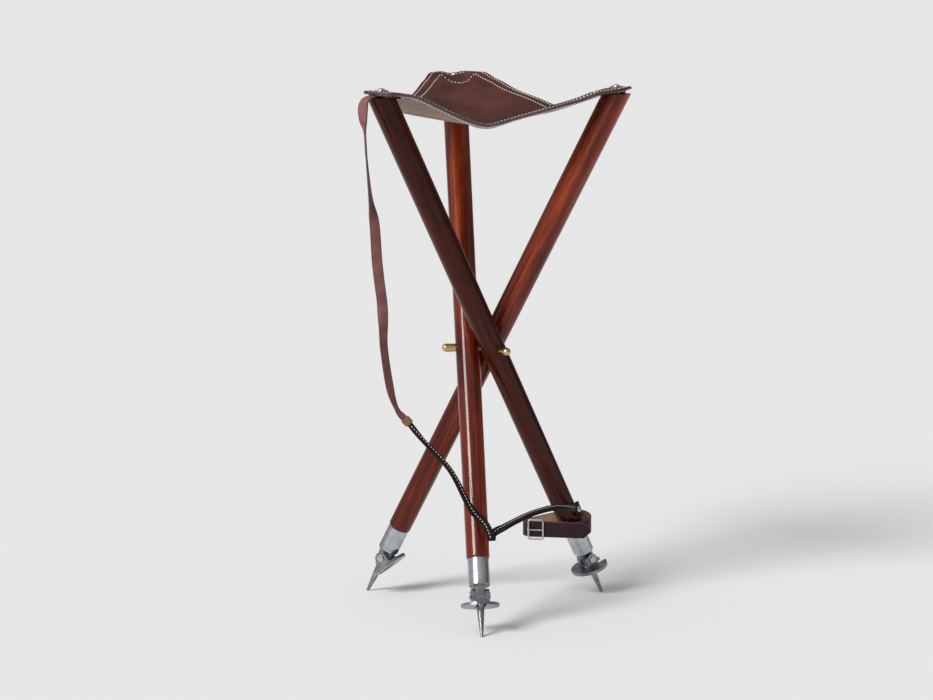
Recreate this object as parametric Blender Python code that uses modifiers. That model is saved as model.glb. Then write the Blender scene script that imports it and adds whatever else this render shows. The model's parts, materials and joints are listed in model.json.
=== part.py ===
"""Tripod hunting stool: three legs on a three-way bolt, a leather seat, plate feet, a sling and a belt.

Metres, +Z up. The floor is z = 0 and the three-way bolt's axis stands at HUB_X, HUB_Y.
"""

import math

import bmesh
import bpy
import numpy as np
from mathutils import Matrix, Vector

# Tripod
LEG_TOP_HEIGHT = 0.700  # floor to the leg tops
HUB_HEIGHT = 0.355  # floor to the three-way bolt
LEG_TILT = math.radians(27.64)  # each leg from the vertical, when open
LEG_OFFSET = 0.0221  # bolt axis to each leg's axis
HUB_X = -0.006  # bolt axis, with the origin under the middle of the stool
HUB_Y = -0.006
ARM_AZIMUTHS = {"rear": 180.0, "left": 300.0, "right": 60.0}  # bolt arms, in degrees

# Legs
LEG_TOP_RADIUS = 0.0174
LEG_FOOT_RADIUS = 0.0154
SPIGOT_RADIUS = 0.0112
SPIGOT_LENGTH = 0.028

# Three-way bolt and cap nuts
BOLT_RADIUS = 0.0040
BOLT_CORE_RADIUS = 0.0048
NUT_RADIUS = 0.0056
NUT_BARREL = 0.0125  # length of the nut's straight part
NUT_THREAD_DEPTH = 0.011

# Feet: ferrule, tongue and spike
SPIKE_LENGTH = 0.043  # spike tip to the plate
PLATE_TO_FERRULE = 0.024
FERRULE_LENGTH = 0.038
FERRULE_RADIUS = 0.01425
FERRULE_LIP = 0.0025  # chamfer at the ferrule's lower rim
TONGUE_HALF_THICKNESS = 0.0058
TONGUE_HALF_WIDTH = 0.0100
SPIKE_RADIUS = 0.0058
SPIKE_TIP_RADIUS = 0.0018
STUD_RADIUS = 0.0030
STUD_IN_LEG = 0.022
STUD_IN_FOOT = 0.006

# Plates on the feet
PLATE_RADIUS = 0.0255
PLATE_THICKNESS = 0.0040
PIN_ABOVE_PLATE = 0.013
PIN_RADIUS = 0.0030
PIN_HEAD_RADIUS = 0.0046
PIN_HEAD_THICKNESS = 0.0013
EAR_THICKNESS = 0.0060
EAR_RADIUS = 0.0085
EAR_PLAY = 0.0004  # between tongue and ear
SLOT_PLAY = 0.0006  # between the spike or tongue and the plate's slot
SLOT_DEPTH = 0.0075  # slot's closed end, past the leg's axis
PLATE_SWING = {"rear": 7.0, "left": 9.0, "right": 66.0}  # degrees up from square to the leg

# Seat hide, patches and fasteners
HIDE_THICKNESS = 0.0040
PATCH_THICKNESS = 0.0034
HIDE_MARGIN = 0.0258  # hide's edge outside the line between two leg tops
CORNER_OUT = 0.017  # hide's end beyond a leg top's centre
CORNER_IN = 0.024  # flat part of the hide inside a leg top's centre
CORNER_ROUND = 0.010
PATCH_OUT = 0.008
PATCH_HALF_WIDTH = 0.019
SEAT_SAG = 0.051  # at the seat's middle
SAG_CREASE = 8.0  # higher gives sharper creases from the middle to the edges
SAG_ROUND = 1.25
SEAM = 0.0005  # each panel stops this far short of a crease line
WASHER_RADIUS = 0.0090
WASHER_THICKNESS = 0.0012
SCREW_RADIUS = 0.0022
SCREW_HEAD_RADIUS = 0.0046
SCREW_HEAD_HEIGHT = 0.0026
SCREW_LENGTH = 0.030

# Carrying sling: width and thickness of each length
SLING_WIDTH = 0.014
SLING_THICKNESS = 0.0026
LOWER_SLING_WIDTH = 0.0105
LOWER_SLING_THICKNESS = 0.0040
KEEPER_LENGTH = 0.010
KEEPER_WALL = 0.0024
KEEPER_PLAY = 0.0009  # keeper to the lower strap, which leaves it at a slight angle
SLING_SEAT = 0.0011  # lower strap's face off the left leg
SLING_SCREW_LENGTH = 0.018
SLING_SCREW_HEIGHT = 0.121  # floor to the screw on the left leg
SLING_SCREW_ANGLE = 25.0  # round the left leg, in degrees from its bolt arm

# Binding belt and buckle
BELT_HEIGHT = 0.097
BELT_WIDTH = 0.0215
BELT_THICKNESS = 0.0024
BELT_AZIMUTH = 174.2  # from the leg to the loop's far end, in degrees
BELT_LEG_RADIUS = 0.0226  # belt's bend round the leg, to its middle layer
BELT_FAR_RADIUS = 0.0135
BELT_LOOP_LENGTH = 0.0535  # between the centres of those two bends
BELT_SET = 0.0015  # leg-side bend's centre beyond the leg's axis
BELT_TAIL = 0.022  # pointed end beyond the leg's axis
BELT_POINT = 0.011
BELT_BLUNT = 0.15  # width left at the point, as a share of the belt's
BELT_LAP = 0.0012  # between the belt's lapped layers
BUCKLE_NEAR = 0.0385  # buckle's bar, from the leg's axis
BUCKLE_LENGTH = 0.020
BUCKLE_HEIGHT = 0.0265
WIRE_RADIUS = 0.0014
PRONG_RADIUS = 0.0010

CLEAR = 0.0003  # between touching pieces
BORE_PLAY = 0.0003  # bores, all round
ROUND = 32  # sides of a large round piece
SMALL_ROUND = 20
DOME_STEPS = 5  # rings of a nut's or a screw head's dome
BEND_STEPS = 3  # each rounded corner of the buckle
GORE_COLUMNS = 11  # squares of a seat panel, from its corner to the crease
GORE_ROWS = 7
UPPER_SLING_STEP = 0.010  # lengths of a strap's straight pieces
LOWER_SLING_STEP = 0.006
BELT_STEP = 0.005
SHARP_ANGLE = math.radians(35.0)  # edges sharper than this stay sharp
MERGE = 0.00001  # points closer than this are one

# Heights along a leg, from its bolt arm
TOP_AT = (LEG_TOP_HEIGHT - HUB_HEIGHT) / math.cos(LEG_TILT)
TIP_AT = -HUB_HEIGHT / math.cos(LEG_TILT)
PLATE_AT = TIP_AT + SPIKE_LENGTH
PIN_AT = PLATE_AT + PIN_ABOVE_PLATE
FERRULE_LOW = PLATE_AT + PLATE_TO_FERRULE
FERRULE_TOP = FERRULE_LOW + FERRULE_LENGTH
SPIGOT_LOW = FERRULE_TOP - SPIGOT_LENGTH
SOCKET_FLOOR = SPIGOT_LOW - CLEAR

# Seat: heights and plan
PATCH_LOW = CLEAR
CORNER_LOW = PATCH_LOW + PATCH_THICKNESS + CLEAR
CORNER_TOP = CORNER_LOW + HIDE_THICKNESS
SEAT_TOP = LEG_TOP_HEIGHT + CORNER_TOP
SEAT_REACH = math.hypot(LEG_OFFSET, TOP_AT * math.sin(LEG_TILT))  # bolt axis to a leg top
SAG_START = CORNER_IN / (1.5 * SEAT_REACH)
SAG_END = 1.0 - 3.0 ** (1.0 / SAG_CREASE) / 3.0

UP = Vector((0.0, 0.0, 1.0))
HUB = Vector((HUB_X, HUB_Y, HUB_HEIGHT))


def remove_all():
    for item in list(bpy.data.objects):
        bpy.data.objects.remove(item, do_unlink=True)


def make_collection(name):
    made = bpy.data.collections.new(name)
    bpy.context.scene.collection.children.link(made)
    return made


def make_material(name, colour, roughness, metallic=0.0):
    material = bpy.data.materials.new(name)
    material.use_nodes = True
    shader = material.node_tree.nodes["Principled BSDF"]
    shader.inputs["Base Color"].default_value = (*colour, 1.0)
    shader.inputs["Roughness"].default_value = roughness
    shader.inputs["Metallic"].default_value = metallic
    return material


remove_all()
PARTS = make_collection("tripod_hunting_stool")
TOOLS = make_collection("cutters")

WOOD = ("mahogany", (0.20, 0.035, 0.018), 0.22, 0.0)
ALUMINIUM = ("cast_aluminium", (0.72, 0.73, 0.74), 0.32, 1.0)
BRASS = ("brass", (0.80, 0.58, 0.22), 0.25, 1.0)
STEEL = ("zinc_steel", (0.60, 0.60, 0.60), 0.35, 1.0)
HIDE = ("seat_hide", (0.16, 0.048, 0.030), 0.40, 0.0)
PATCH = ("patch_leather", (0.42, 0.34, 0.29), 0.85, 0.0)
STRAP = ("strap_leather", (0.20, 0.085, 0.075), 0.50, 0.0)
BELT = ("belt_leather", (0.055, 0.030, 0.026), 0.45, 0.0)


# Making and placing objects


def empty(name, parent=None, matrix=None):
    item = bpy.data.objects.new(name, None)
    PARTS.objects.link(item)
    item.parent = parent
    item.matrix_local = matrix if matrix is not None else Matrix.Identity(4)
    return item


def mesh_object(name, bm, parent, collection):
    mesh = bpy.data.meshes.new(name)
    bmesh.ops.recalc_face_normals(bm, faces=bm.faces)
    bm.to_mesh(mesh)
    bm.free()
    item = bpy.data.objects.new(name, mesh)
    collection.objects.link(item)
    item.parent = parent
    return item


def finish(item, look):
    """Give a part its own material and smooth shading."""
    name, colour, roughness, metallic = look
    material = make_material(f"{item.name}_{name}", colour, roughness, metallic)
    item.data.materials.append(material)
    item.data.shade_smooth()
    item.data.set_sharp_from_angle(angle=SHARP_ANGLE)
    return item


def part(name, bm, look, parent=None):
    return finish(mesh_object(name, bm, parent, PARTS), look)


def tool(name, bm, parent=None):
    item = mesh_object(name, bm, parent, TOOLS)
    item.hide_render = True
    item.display_type = "WIRE"
    return item


def combine(item, other, operation="DIFFERENCE"):
    modifier = item.modifiers.new(other.name, "BOOLEAN")
    modifier.operation = operation
    modifier.object = other


def cylinder(radius, low, high, along="Z", end_radius=None, sides=SMALL_ROUND):
    bm = bmesh.new()
    bmesh.ops.create_cone(
        bm,
        cap_ends=True,
        segments=sides,
        radius1=radius,
        radius2=radius if end_radius is None else end_radius,
        depth=high - low,
    )
    bmesh.ops.translate(bm, verts=bm.verts, vec=(0.0, 0.0, (low + high) / 2))
    if along == "X":
        bmesh.ops.rotate(bm, verts=bm.verts, matrix=Matrix.Rotation(math.pi / 2, 3, "Y"))
    return bm


def block(low, high):
    bm = bmesh.new()
    bmesh.ops.create_cube(bm, size=1.0)
    size = Vector(high) - Vector(low)
    bmesh.ops.scale(bm, verts=bm.verts, vec=size)
    bmesh.ops.translate(bm, verts=bm.verts, vec=(Vector(high) + Vector(low)) / 2)
    return bm


def turned(name, profile, look, parent, sides=ROUND):
    """Turn a profile of (radius, height) points, given down the outside, about local Z."""
    mesh = bpy.data.meshes.new(name)
    points = [(radius, 0.0, height) for radius, height in profile]
    mesh.from_pydata(points, [(i, i + 1) for i in range(len(points) - 1)], [])
    item = bpy.data.objects.new(name, mesh)
    PARTS.objects.link(item)
    item.parent = parent
    screw = item.modifiers.new("turn", "SCREW")
    screw.steps = sides
    screw.render_steps = sides
    screw.use_merge_vertices = True
    screw.merge_threshold = MERGE
    screw.use_smooth_shade = True
    return finish(item, look)


def plate_from_outline(name, outline, low, high, parent, collection):
    """A flat plate of an (x, y) outline, between two heights."""
    curve = bpy.data.curves.new(name, "CURVE")
    curve.dimensions = "2D"
    curve.fill_mode = "BOTH"
    curve.extrude = (high - low) / 2
    spline = curve.splines.new("POLY")
    spline.points.add(len(outline) - 1)
    for point, (x, y) in zip(spline.points, outline):
        point.co = (x, y, 0.0, 1.0)
    spline.use_cyclic_u = True
    flat = bpy.data.objects.new(name + "_outline", curve)
    collection.objects.link(flat)
    bpy.context.view_layer.update()
    drawn = flat.evaluated_get(bpy.context.evaluated_depsgraph_get())
    mesh = bpy.data.meshes.new_from_object(drawn)
    bpy.data.objects.remove(flat, do_unlink=True)
    bm = bmesh.new()
    bm.from_mesh(mesh)
    bmesh.ops.remove_doubles(bm, verts=bm.verts, dist=MERGE)
    bmesh.ops.translate(bm, verts=bm.verts, vec=(0.0, 0.0, (low + high) / 2))
    return mesh_object(name, bm, parent, collection)


def grid(columns, rows, place):
    """A grid whose points are put where place(u, v) says."""
    bm = bmesh.new()
    bmesh.ops.create_grid(bm, x_segments=columns, y_segments=rows, size=0.5)
    for vertex in bm.verts:
        vertex.co = place(vertex.co.x + 0.5, vertex.co.y + 0.5)
    return bm


# Tripod frames


def arm(name):
    azimuth = math.radians(ARM_AZIMUTHS[name])
    return Vector((math.cos(azimuth), math.sin(azimuth), 0.0))


def outward(name):
    """Level direction in which a leg's top leans, square to its bolt arm."""
    return arm(name).cross(UP)


def leg_matrix(name):
    """Local X along the bolt arm, local Z up the leg, origin where the leg turns on the bolt."""
    along = math.sin(LEG_TILT) * outward(name) + math.cos(LEG_TILT) * UP
    across = along.cross(arm(name))
    matrix = Matrix((arm(name), across, along)).transposed().to_4x4()
    matrix.translation = HUB + LEG_OFFSET * arm(name)
    return matrix


LEG_FRAMES = {}
TOP_FRAMES = {}


def make_frames():
    """An empty at each leg's bolt arm, and one level with each leg's top: X along the arm, Y inward."""
    for name in ARM_AZIMUTHS:
        LEG_FRAMES[name] = empty(f"leg_frame_{name}", None, leg_matrix(name))
        level = Matrix.Translation((0.0, 0.0, TOP_AT)) @ Matrix.Rotation(-LEG_TILT, 4, "X")
        TOP_FRAMES[name] = empty(f"top_frame_{name}", LEG_FRAMES[name], level)


# Legs, bolt and nuts


def leg_radius(height):
    """Leg radius at a height along the leg, from its bolt arm."""
    share = (height - FERRULE_TOP) / (TOP_AT - FERRULE_TOP)
    return LEG_FOOT_RADIUS + share * (LEG_TOP_RADIUS - LEG_FOOT_RADIUS)


def make_leg(name):
    frame = LEG_FRAMES[name]
    over = TOP_AT + 2 * LEG_TOP_RADIUS * math.tan(LEG_TILT)
    round_off = FERRULE_RADIUS - SPIGOT_RADIUS
    profile = [
        (0.0, over),
        (leg_radius(over), over),
        (leg_radius(FERRULE_TOP + round_off), FERRULE_TOP + round_off),
        (FERRULE_RADIUS, FERRULE_TOP + CLEAR),
        (SPIGOT_RADIUS, FERRULE_TOP + CLEAR),
        (SPIGOT_RADIUS, SPIGOT_LOW),
        (0.0, SPIGOT_LOW),
    ]
    leg = turned(f"leg_{name}", profile, WOOD, frame)
    reach = 3 * LEG_TOP_RADIUS
    bore = cylinder(BOLT_RADIUS + BORE_PLAY, -reach, reach, "X")
    combine(leg, tool(f"bolt_bore_{name}", bore, frame))
    top = block((-reach, -reach, 0.0), (reach, reach, 2 * reach))
    combine(leg, tool(f"top_cut_{name}", top, TOP_FRAMES[name]))
    pilot = cylinder(SCREW_RADIUS + BORE_PLAY, -SCREW_LENGTH, SCREW_LENGTH)
    combine(leg, tool(f"pilot_{name}", pilot, TOP_FRAMES[name]))
    stud_end = SPIGOT_LOW + STUD_IN_LEG + CLEAR
    hole = cylinder(STUD_RADIUS + BORE_PLAY, SPIGOT_LOW - SPIGOT_LENGTH, stud_end)
    combine(leg, tool(f"stud_bore_{name}", hole, frame))
    return leg


def nut_seat():
    """Where a cap nut meets its leg, along the bolt arm from the leg's axis."""
    return leg_radius(0.0) + CLEAR


def make_bolt():
    end = LEG_OFFSET + nut_seat() + NUT_THREAD_DEPTH - CLEAR
    core = bmesh.new()
    bmesh.ops.create_uvsphere(
        core, u_segments=SMALL_ROUND, v_segments=SMALL_ROUND // 2, radius=BOLT_CORE_RADIUS
    )
    hub = empty("hub_frame", None, Matrix.Translation(HUB))
    bolt = part("three_way_bolt", core, BRASS, hub)
    for name, azimuth in ARM_AZIMUTHS.items():
        rod = tool(f"bolt_arm_{name}", cylinder(BOLT_RADIUS, 0.0, end, "X"), hub)
        rod.rotation_euler.z = math.radians(azimuth)
        combine(bolt, rod, "UNION")
    return bolt


def make_nut(name):
    """Brass nut: a barrel with a domed end, bored for the bolt, on the outside of its leg."""
    arc = [math.pi / 2 * step / DOME_STEPS for step in range(DOME_STEPS + 1)]
    dome = [(NUT_RADIUS * math.sin(a), NUT_BARREL + NUT_RADIUS * math.cos(a)) for a in arc]
    bore = BOLT_RADIUS + BORE_PLAY
    profile = dome + [(NUT_RADIUS, 0.0), (bore, 0.0), (bore, NUT_THREAD_DEPTH), (0.0, NUT_THREAD_DEPTH)]
    turn = Matrix.Translation((nut_seat(), 0.0, 0.0)) @ Matrix.Rotation(math.pi / 2, 4, "Y")
    seat = empty(f"nut_frame_{name}", LEG_FRAMES[name], turn)
    return turned(f"cap_nut_{name}", profile, BRASS, seat, SMALL_ROUND)


# Feet and plates


def make_foot(name):
    """Ferrule socket, tongue and ground spike in one casting, with its tip cut level with the floor."""
    frame = LEG_FRAMES[name]
    socket = SPIGOT_RADIUS + CLEAR
    profile = [
        (0.0, SOCKET_FLOOR),
        (socket, SOCKET_FLOOR),
        (socket, FERRULE_TOP),
        (FERRULE_RADIUS, FERRULE_TOP),
        (FERRULE_RADIUS, FERRULE_LOW + FERRULE_LIP),
        (FERRULE_RADIUS - FERRULE_LIP, FERRULE_LOW),
        (0.0, FERRULE_LOW),
    ]
    foot = turned(f"foot_{name}", profile, ALUMINIUM, frame)
    stud = cylinder(STUD_RADIUS + BORE_PLAY, SOCKET_FLOOR - STUD_IN_FOOT - CLEAR, FERRULE_TOP)
    combine(foot, tool(f"foot_stud_bore_{name}", stud, frame))
    overlap = FERRULE_LIP / 2
    low = (-TONGUE_HALF_THICKNESS, -TONGUE_HALF_WIDTH, PLATE_AT)
    high = (TONGUE_HALF_THICKNESS, TONGUE_HALF_WIDTH, FERRULE_LOW + overlap)
    tongue = block(low, high)
    for vertex in tongue.verts:
        if vertex.co.z < PIN_AT:
            vertex.co.y *= SPIKE_RADIUS / TONGUE_HALF_WIDTH
    combine(foot, tool(f"tongue_{name}", tongue, frame), "UNION")
    spike = cylinder(
        SPIKE_TIP_RADIUS,
        TIP_AT - SPIKE_TIP_RADIUS,
        PLATE_AT + PLATE_THICKNESS / 2,
        end_radius=SPIKE_RADIUS,
    )
    combine(foot, tool(f"spike_{name}", spike, frame), "UNION")
    bore = cylinder(PIN_RADIUS + BORE_PLAY, -2 * TONGUE_HALF_THICKNESS, 2 * TONGUE_HALF_THICKNESS, "X")
    bore_frame = empty(f"pin_frame_{name}", frame, Matrix.Translation((0.0, 0.0, PIN_AT)))
    combine(foot, tool(f"pin_bore_{name}", bore, bore_frame))
    tip = leg_matrix(name) @ Vector((0.0, 0.0, TIP_AT))
    half = 4 * SPIKE_RADIUS
    ground = block((tip.x - half, tip.y - half, -half), (tip.x + half, tip.y + half, 0.0))
    combine(foot, tool(f"ground_{name}", ground))
    return foot


def make_stud(name):
    stud = cylinder(STUD_RADIUS, SOCKET_FLOOR - STUD_IN_FOOT, SPIGOT_LOW + STUD_IN_LEG)
    return part(f"ferrule_stud_{name}", stud, STEEL, LEG_FRAMES[name])


def ear_faces():
    inner = TONGUE_HALF_THICKNESS + EAR_PLAY
    return inner, inner + EAR_THICKNESS


def make_plate(name):
    """Slotted round plate with two ears; its origin is on the pin, and it is swung up about it."""
    swing = Matrix.Rotation(-math.radians(PLATE_SWING[name]), 4, "X")
    hinge = empty(
        f"plate_hinge_{name}", LEG_FRAMES[name], Matrix.Translation((0.0, 0.0, PIN_AT)) @ swing
    )
    top = -PIN_ABOVE_PLATE + PLATE_THICKNESS / 2
    low = top - PLATE_THICKNESS
    plate = part(f"plate_{name}", cylinder(PLATE_RADIUS, low, top, sides=ROUND), ALUMINIUM, hinge)
    inner, outer = ear_faces()
    for side, sign in (("inner", -1.0), ("outer", 1.0)):
        near, far = sorted((sign * inner, sign * outer))
        foot = block((near, -EAR_RADIUS, low + PLATE_THICKNESS / 4), (far, EAR_RADIUS, 0.0))
        combine(plate, tool(f"ear_foot_{side}_{name}", foot, hinge), "UNION")
        crown = cylinder(EAR_RADIUS, near, far, "X")
        combine(plate, tool(f"ear_crown_{side}_{name}", crown, hinge), "UNION")
    half_slot = max(SPIKE_RADIUS, TONGUE_HALF_THICKNESS) + SLOT_PLAY
    slot = block((-half_slot, -SLOT_DEPTH, 2 * low), (half_slot, 2 * PLATE_RADIUS, top + CLEAR))
    combine(plate, tool(f"slot_{name}", slot, hinge))
    bore = cylinder(PIN_RADIUS + BORE_PLAY, -2 * outer, 2 * outer, "X")
    combine(plate, tool(f"ear_bore_{name}", bore, hinge))
    return plate


def make_pin(name):
    """Rivet through both ears and the tongue, with a head outside each ear."""
    outer = ear_faces()[1] + CLEAR
    end = outer + PIN_HEAD_THICKNESS
    profile = [
        (0.0, end),
        (PIN_HEAD_RADIUS, end),
        (PIN_HEAD_RADIUS, outer),
        (PIN_RADIUS, outer),
        (PIN_RADIUS, -outer),
        (PIN_HEAD_RADIUS, -outer),
        (PIN_HEAD_RADIUS, -end),
        (0.0, -end),
    ]
    turn = Matrix.Translation((0.0, 0.0, PIN_AT)) @ Matrix.Rotation(math.pi / 2, 4, "Y")
    axis = empty(f"pin_axis_{name}", LEG_FRAMES[name], turn)
    return turned(f"plate_pin_{name}", profile, STEEL, axis, SMALL_ROUND)


# Seat


def leg_top(name):
    """Plan position of a leg's top, from the bolt axis."""
    return LEG_OFFSET * arm(name) + TOP_AT * math.sin(LEG_TILT) * outward(name)


def seat_height(point):
    """Height of the hide's upper face over a plan point: flat at the corners, sagging to the middle."""
    shares = []
    for name in ARM_AZIMUTHS:
        share = 1.0 / 3.0 + 2.0 / 3.0 * point.dot(leg_top(name)) / SEAT_REACH**2
        shares.append(max(share, 0.0))
    nearest = sum(share**SAG_CREASE for share in shares) ** (1.0 / SAG_CREASE)
    way = (1.0 - nearest - SAG_START) / (SAG_END - SAG_START)
    way = min(max(way, 0.0), 1.0)
    return SEAT_TOP - SEAT_SAG * math.sin(math.pi / 2 * way) ** SAG_ROUND


def edge_half_width(inward):
    """Hide's half width beside a leg top, at a distance inward from its centre."""
    return (HIDE_MARGIN + inward * math.sin(math.pi / 6)) / math.cos(math.pi / 6)


def seat_axes(name):
    """Plan directions at a leg's top: toward the seat's middle, and to its right seen from above."""
    inward = -leg_top(name).normalized()
    return inward, inward.cross(UP)


def make_gore(name, other):
    """Half of the hide's lobe at one leg: from its flat corner to the crease toward another leg."""
    inward, right = seat_axes(name)
    toward = leg_top(other) - leg_top(name)
    side = right if toward.dot(right) > 0.0 else -right
    near = leg_top(name) + CORNER_IN * inward
    near_edge = near + edge_half_width(CORNER_IN) * side
    far = Vector((0.0, 0.0, 0.0))
    halfway = (leg_top(name) + leg_top(other)).normalized()
    far_edge = halfway * (SEAT_REACH / 2 + HIDE_MARGIN)
    u_seam = SEAM / (far_edge - near_edge).length
    v_seam = SEAM / (near_edge - near).length
    hinge = Vector((HUB_X, HUB_Y, 0.0)) + near
    hinge.z = SEAT_TOP - HIDE_THICKNESS / 2

    def place(u, v):
        u = u_seam + u * (1.0 - 2.0 * u_seam)
        v = v_seam + v * (1.0 - v_seam)
        start = near.lerp(near_edge, v)
        end = far.lerp(far_edge, v)
        point = start.lerp(end, u)
        level = Vector((HUB_X + point.x, HUB_Y + point.y, seat_height(point)))
        return level - hinge

    axis = empty(f"gore_hinge_{name}_{other}", None, Matrix.Translation(hinge))
    surface = grid(GORE_COLUMNS, GORE_ROWS, place)
    below = bmesh.ops.extrude_face_region(surface, geom=surface.faces[:])
    lower = [item for item in below["geom"] if isinstance(item, bmesh.types.BMVert)]
    bmesh.ops.translate(surface, verts=lower, vec=(0.0, 0.0, -HIDE_THICKNESS))
    return part(f"seat_gore_{name}_{other}", surface, HIDE, axis)


def rounded_end(half_end, half_start, end, start, radius, steps=5):
    """Outline of a tapered tongue in (x, y): square at y = start, rounded corners at y = -end."""
    slope = math.atan2(half_start - half_end, start + end)
    turn = math.pi / 2 - slope
    back = radius * math.tan(turn / 2)
    centre_x = half_end - back
    right_side = []
    for step in range(steps + 1):
        angle = -math.pi / 2 + turn * step / steps
        x = centre_x + radius * math.cos(angle)
        right_side.append((x, -end + radius + radius * math.sin(angle)))
    left_side = [(-x, y) for x, y in reversed(right_side)]
    return right_side + [(half_start, start), (-half_start, start)] + left_side


def corner_matrix(name):
    """Axes of a hide corner at its leg's top: X to the right of the way in, Y toward the seat's middle."""
    inward, right = seat_axes(name)
    matrix = Matrix((right, inward, UP)).transposed().to_4x4()
    matrix.translation = Vector((HUB_X, HUB_Y, LEG_TOP_HEIGHT)) + leg_top(name)
    return matrix


def make_corner(name):
    """Flat corner of the hide, its patch below, and the washer and screw that hold them on the leg."""
    local = leg_matrix(name).inverted() @ corner_matrix(name)
    seat = empty(f"corner_frame_{name}", LEG_FRAMES[name], local)
    flat_in = CORNER_IN - SEAM
    outline = rounded_end(
        edge_half_width(-CORNER_OUT), edge_half_width(flat_in), CORNER_OUT, flat_in, CORNER_ROUND
    )
    corner = plate_from_outline(
        f"seat_corner_{name}", outline, CORNER_LOW, CORNER_TOP, seat, PARTS
    )
    finish(corner, HIDE)
    low = (-PATCH_HALF_WIDTH, -PATCH_OUT, PATCH_LOW)
    high = (PATCH_HALF_WIDTH, CORNER_IN, PATCH_LOW + PATCH_THICKNESS)
    patch = part(f"seat_patch_{name}", block(low, high), PATCH, seat)
    bore = cylinder(SCREW_RADIUS + BORE_PLAY, -SCREW_LENGTH, SCREW_LENGTH)
    hole = tool(f"corner_hole_{name}", bore, seat)
    combine(corner, hole)
    combine(patch, hole)
    washer_low = CORNER_TOP + CLEAR
    washer_top = washer_low + WASHER_THICKNESS
    ring = cylinder(WASHER_RADIUS, washer_low, washer_top, sides=ROUND)
    washer = part(f"seat_washer_{name}", ring, STEEL, seat)
    combine(washer, hole)
    profile = screw_profile(washer_top + CLEAR, SCREW_LENGTH)
    turned(f"seat_screw_{name}", profile, STEEL, seat, SMALL_ROUND)


def screw_profile(head_low, length):
    """Profile of a round-headed screw whose head sits at a height, down the outside."""
    arc = [math.pi / 2 * step / DOME_STEPS for step in range(DOME_STEPS + 1)]
    dome = [
        (SCREW_HEAD_RADIUS * math.sin(a), head_low + SCREW_HEAD_HEIGHT * math.cos(a)) for a in arc
    ]
    end = head_low - length
    return dome + [(SCREW_RADIUS, head_low), (SCREW_RADIUS, end + SCREW_RADIUS), (0.0, end)]


# Straps


def smooth_route(points, spacing):
    """Even points on a smooth curve through a route's points (Catmull-Rom)."""
    points = [np.array(point, float) for point in points]
    ends = [2 * points[0] - points[1]] + points + [2 * points[-1] - points[-2]]
    fine = []
    for a, b, c, d in zip(ends, ends[1:], ends[2:], ends[3:]):
        for t in np.linspace(0.0, 1.0, 12, endpoint=False):
            bend = (c - a) * t + (2 * a - 5 * b + 4 * c - d) * t**2 + (3 * b - a - 3 * c + d) * t**3
            fine.append(b + bend / 2)
    fine = np.array(fine + [points[-1]])
    lengths = np.concatenate([[0.0], np.cumsum(np.linalg.norm(np.diff(fine[:, :3], axis=0), axis=1))])
    count = max(2, round(lengths[-1] / spacing))
    wanted = np.linspace(0.0, lengths[-1], count + 1)
    return np.stack([np.interp(wanted, lengths, fine[:, k]) for k in range(fine.shape[1])], axis=1)


def strap(name, route, width, thickness, look, parent=None, taper=None):
    """A flat strap along a route of points, each with the way that the strap's face looks there."""
    centres = route[:, :3]
    tangents = np.gradient(centres, axis=0)
    tangents /= np.linalg.norm(tangents, axis=1)[:, None]
    across = np.cross(route[:, 3:6], tangents)
    across /= np.linalg.norm(across, axis=1)[:, None]
    columns = len(centres) - 1

    def place(u, v):
        at = round(u * columns)
        half = width / 2 * (taper(at / columns) if taper else 1.0)
        return Vector(centres[at] + across[at] * half * (2.0 * v - 1.0))

    item = part(name, grid(columns, 1, place), look, parent)
    solid = item.modifiers.new("thickness", "SOLIDIFY")
    solid.thickness = thickness
    solid.offset = 0.0
    return item


def facing(azimuth, tilt=0.0):
    """A face's direction, from its azimuth and its tilt above the level, in degrees."""
    level = math.cos(math.radians(tilt))
    turn = math.radians(azimuth)
    return (level * math.cos(turn), level * math.sin(turn), math.sin(math.radians(tilt)))


def leg_axis_at(name, height):
    """Where a leg's axis passes a height above the floor."""
    matrix = leg_matrix(name)
    axis = matrix.to_3x3() @ UP
    return matrix.translation + axis * ((height - HUB_HEIGHT) / axis.z)


def left_leg_point(radius, angle, height):
    """A point beside the left leg, and the way out there: radius and angle about its axis, and height."""
    turn = math.radians(angle)
    way = leg_matrix("left").to_3x3() @ Vector((math.cos(turn), math.sin(turn), 0.0))
    return leg_axis_at("left", height) + way * radius, way


def sling_end(angle, height):
    """A route point of the sling's lower end where it lies on the left leg."""
    along = (height - HUB_HEIGHT) / math.cos(LEG_TILT)
    radius = leg_radius(along) + SLING_SEAT + LOWER_SLING_THICKNESS / 2
    point, way = left_leg_point(radius, angle, height)
    return (*point, *-way)


def hung(x, y, drop, azimuth, tilt=0.0):
    """A route point of the sling, from the left leg's top, and the way that its face looks there."""
    point = leg_axis_at("left", LEG_TOP_HEIGHT) + Vector((x, y, -drop))
    return (*point, *facing(azimuth, tilt))


def passing(leg, x, y, height, azimuth, tilt=0.0):
    """A route point of the sling, from a leg's axis at that height, and the way that its face looks there."""
    point = leg_axis_at(leg, height) + Vector((x, y, 0.0))
    return (*point, *facing(azimuth, tilt))


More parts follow.
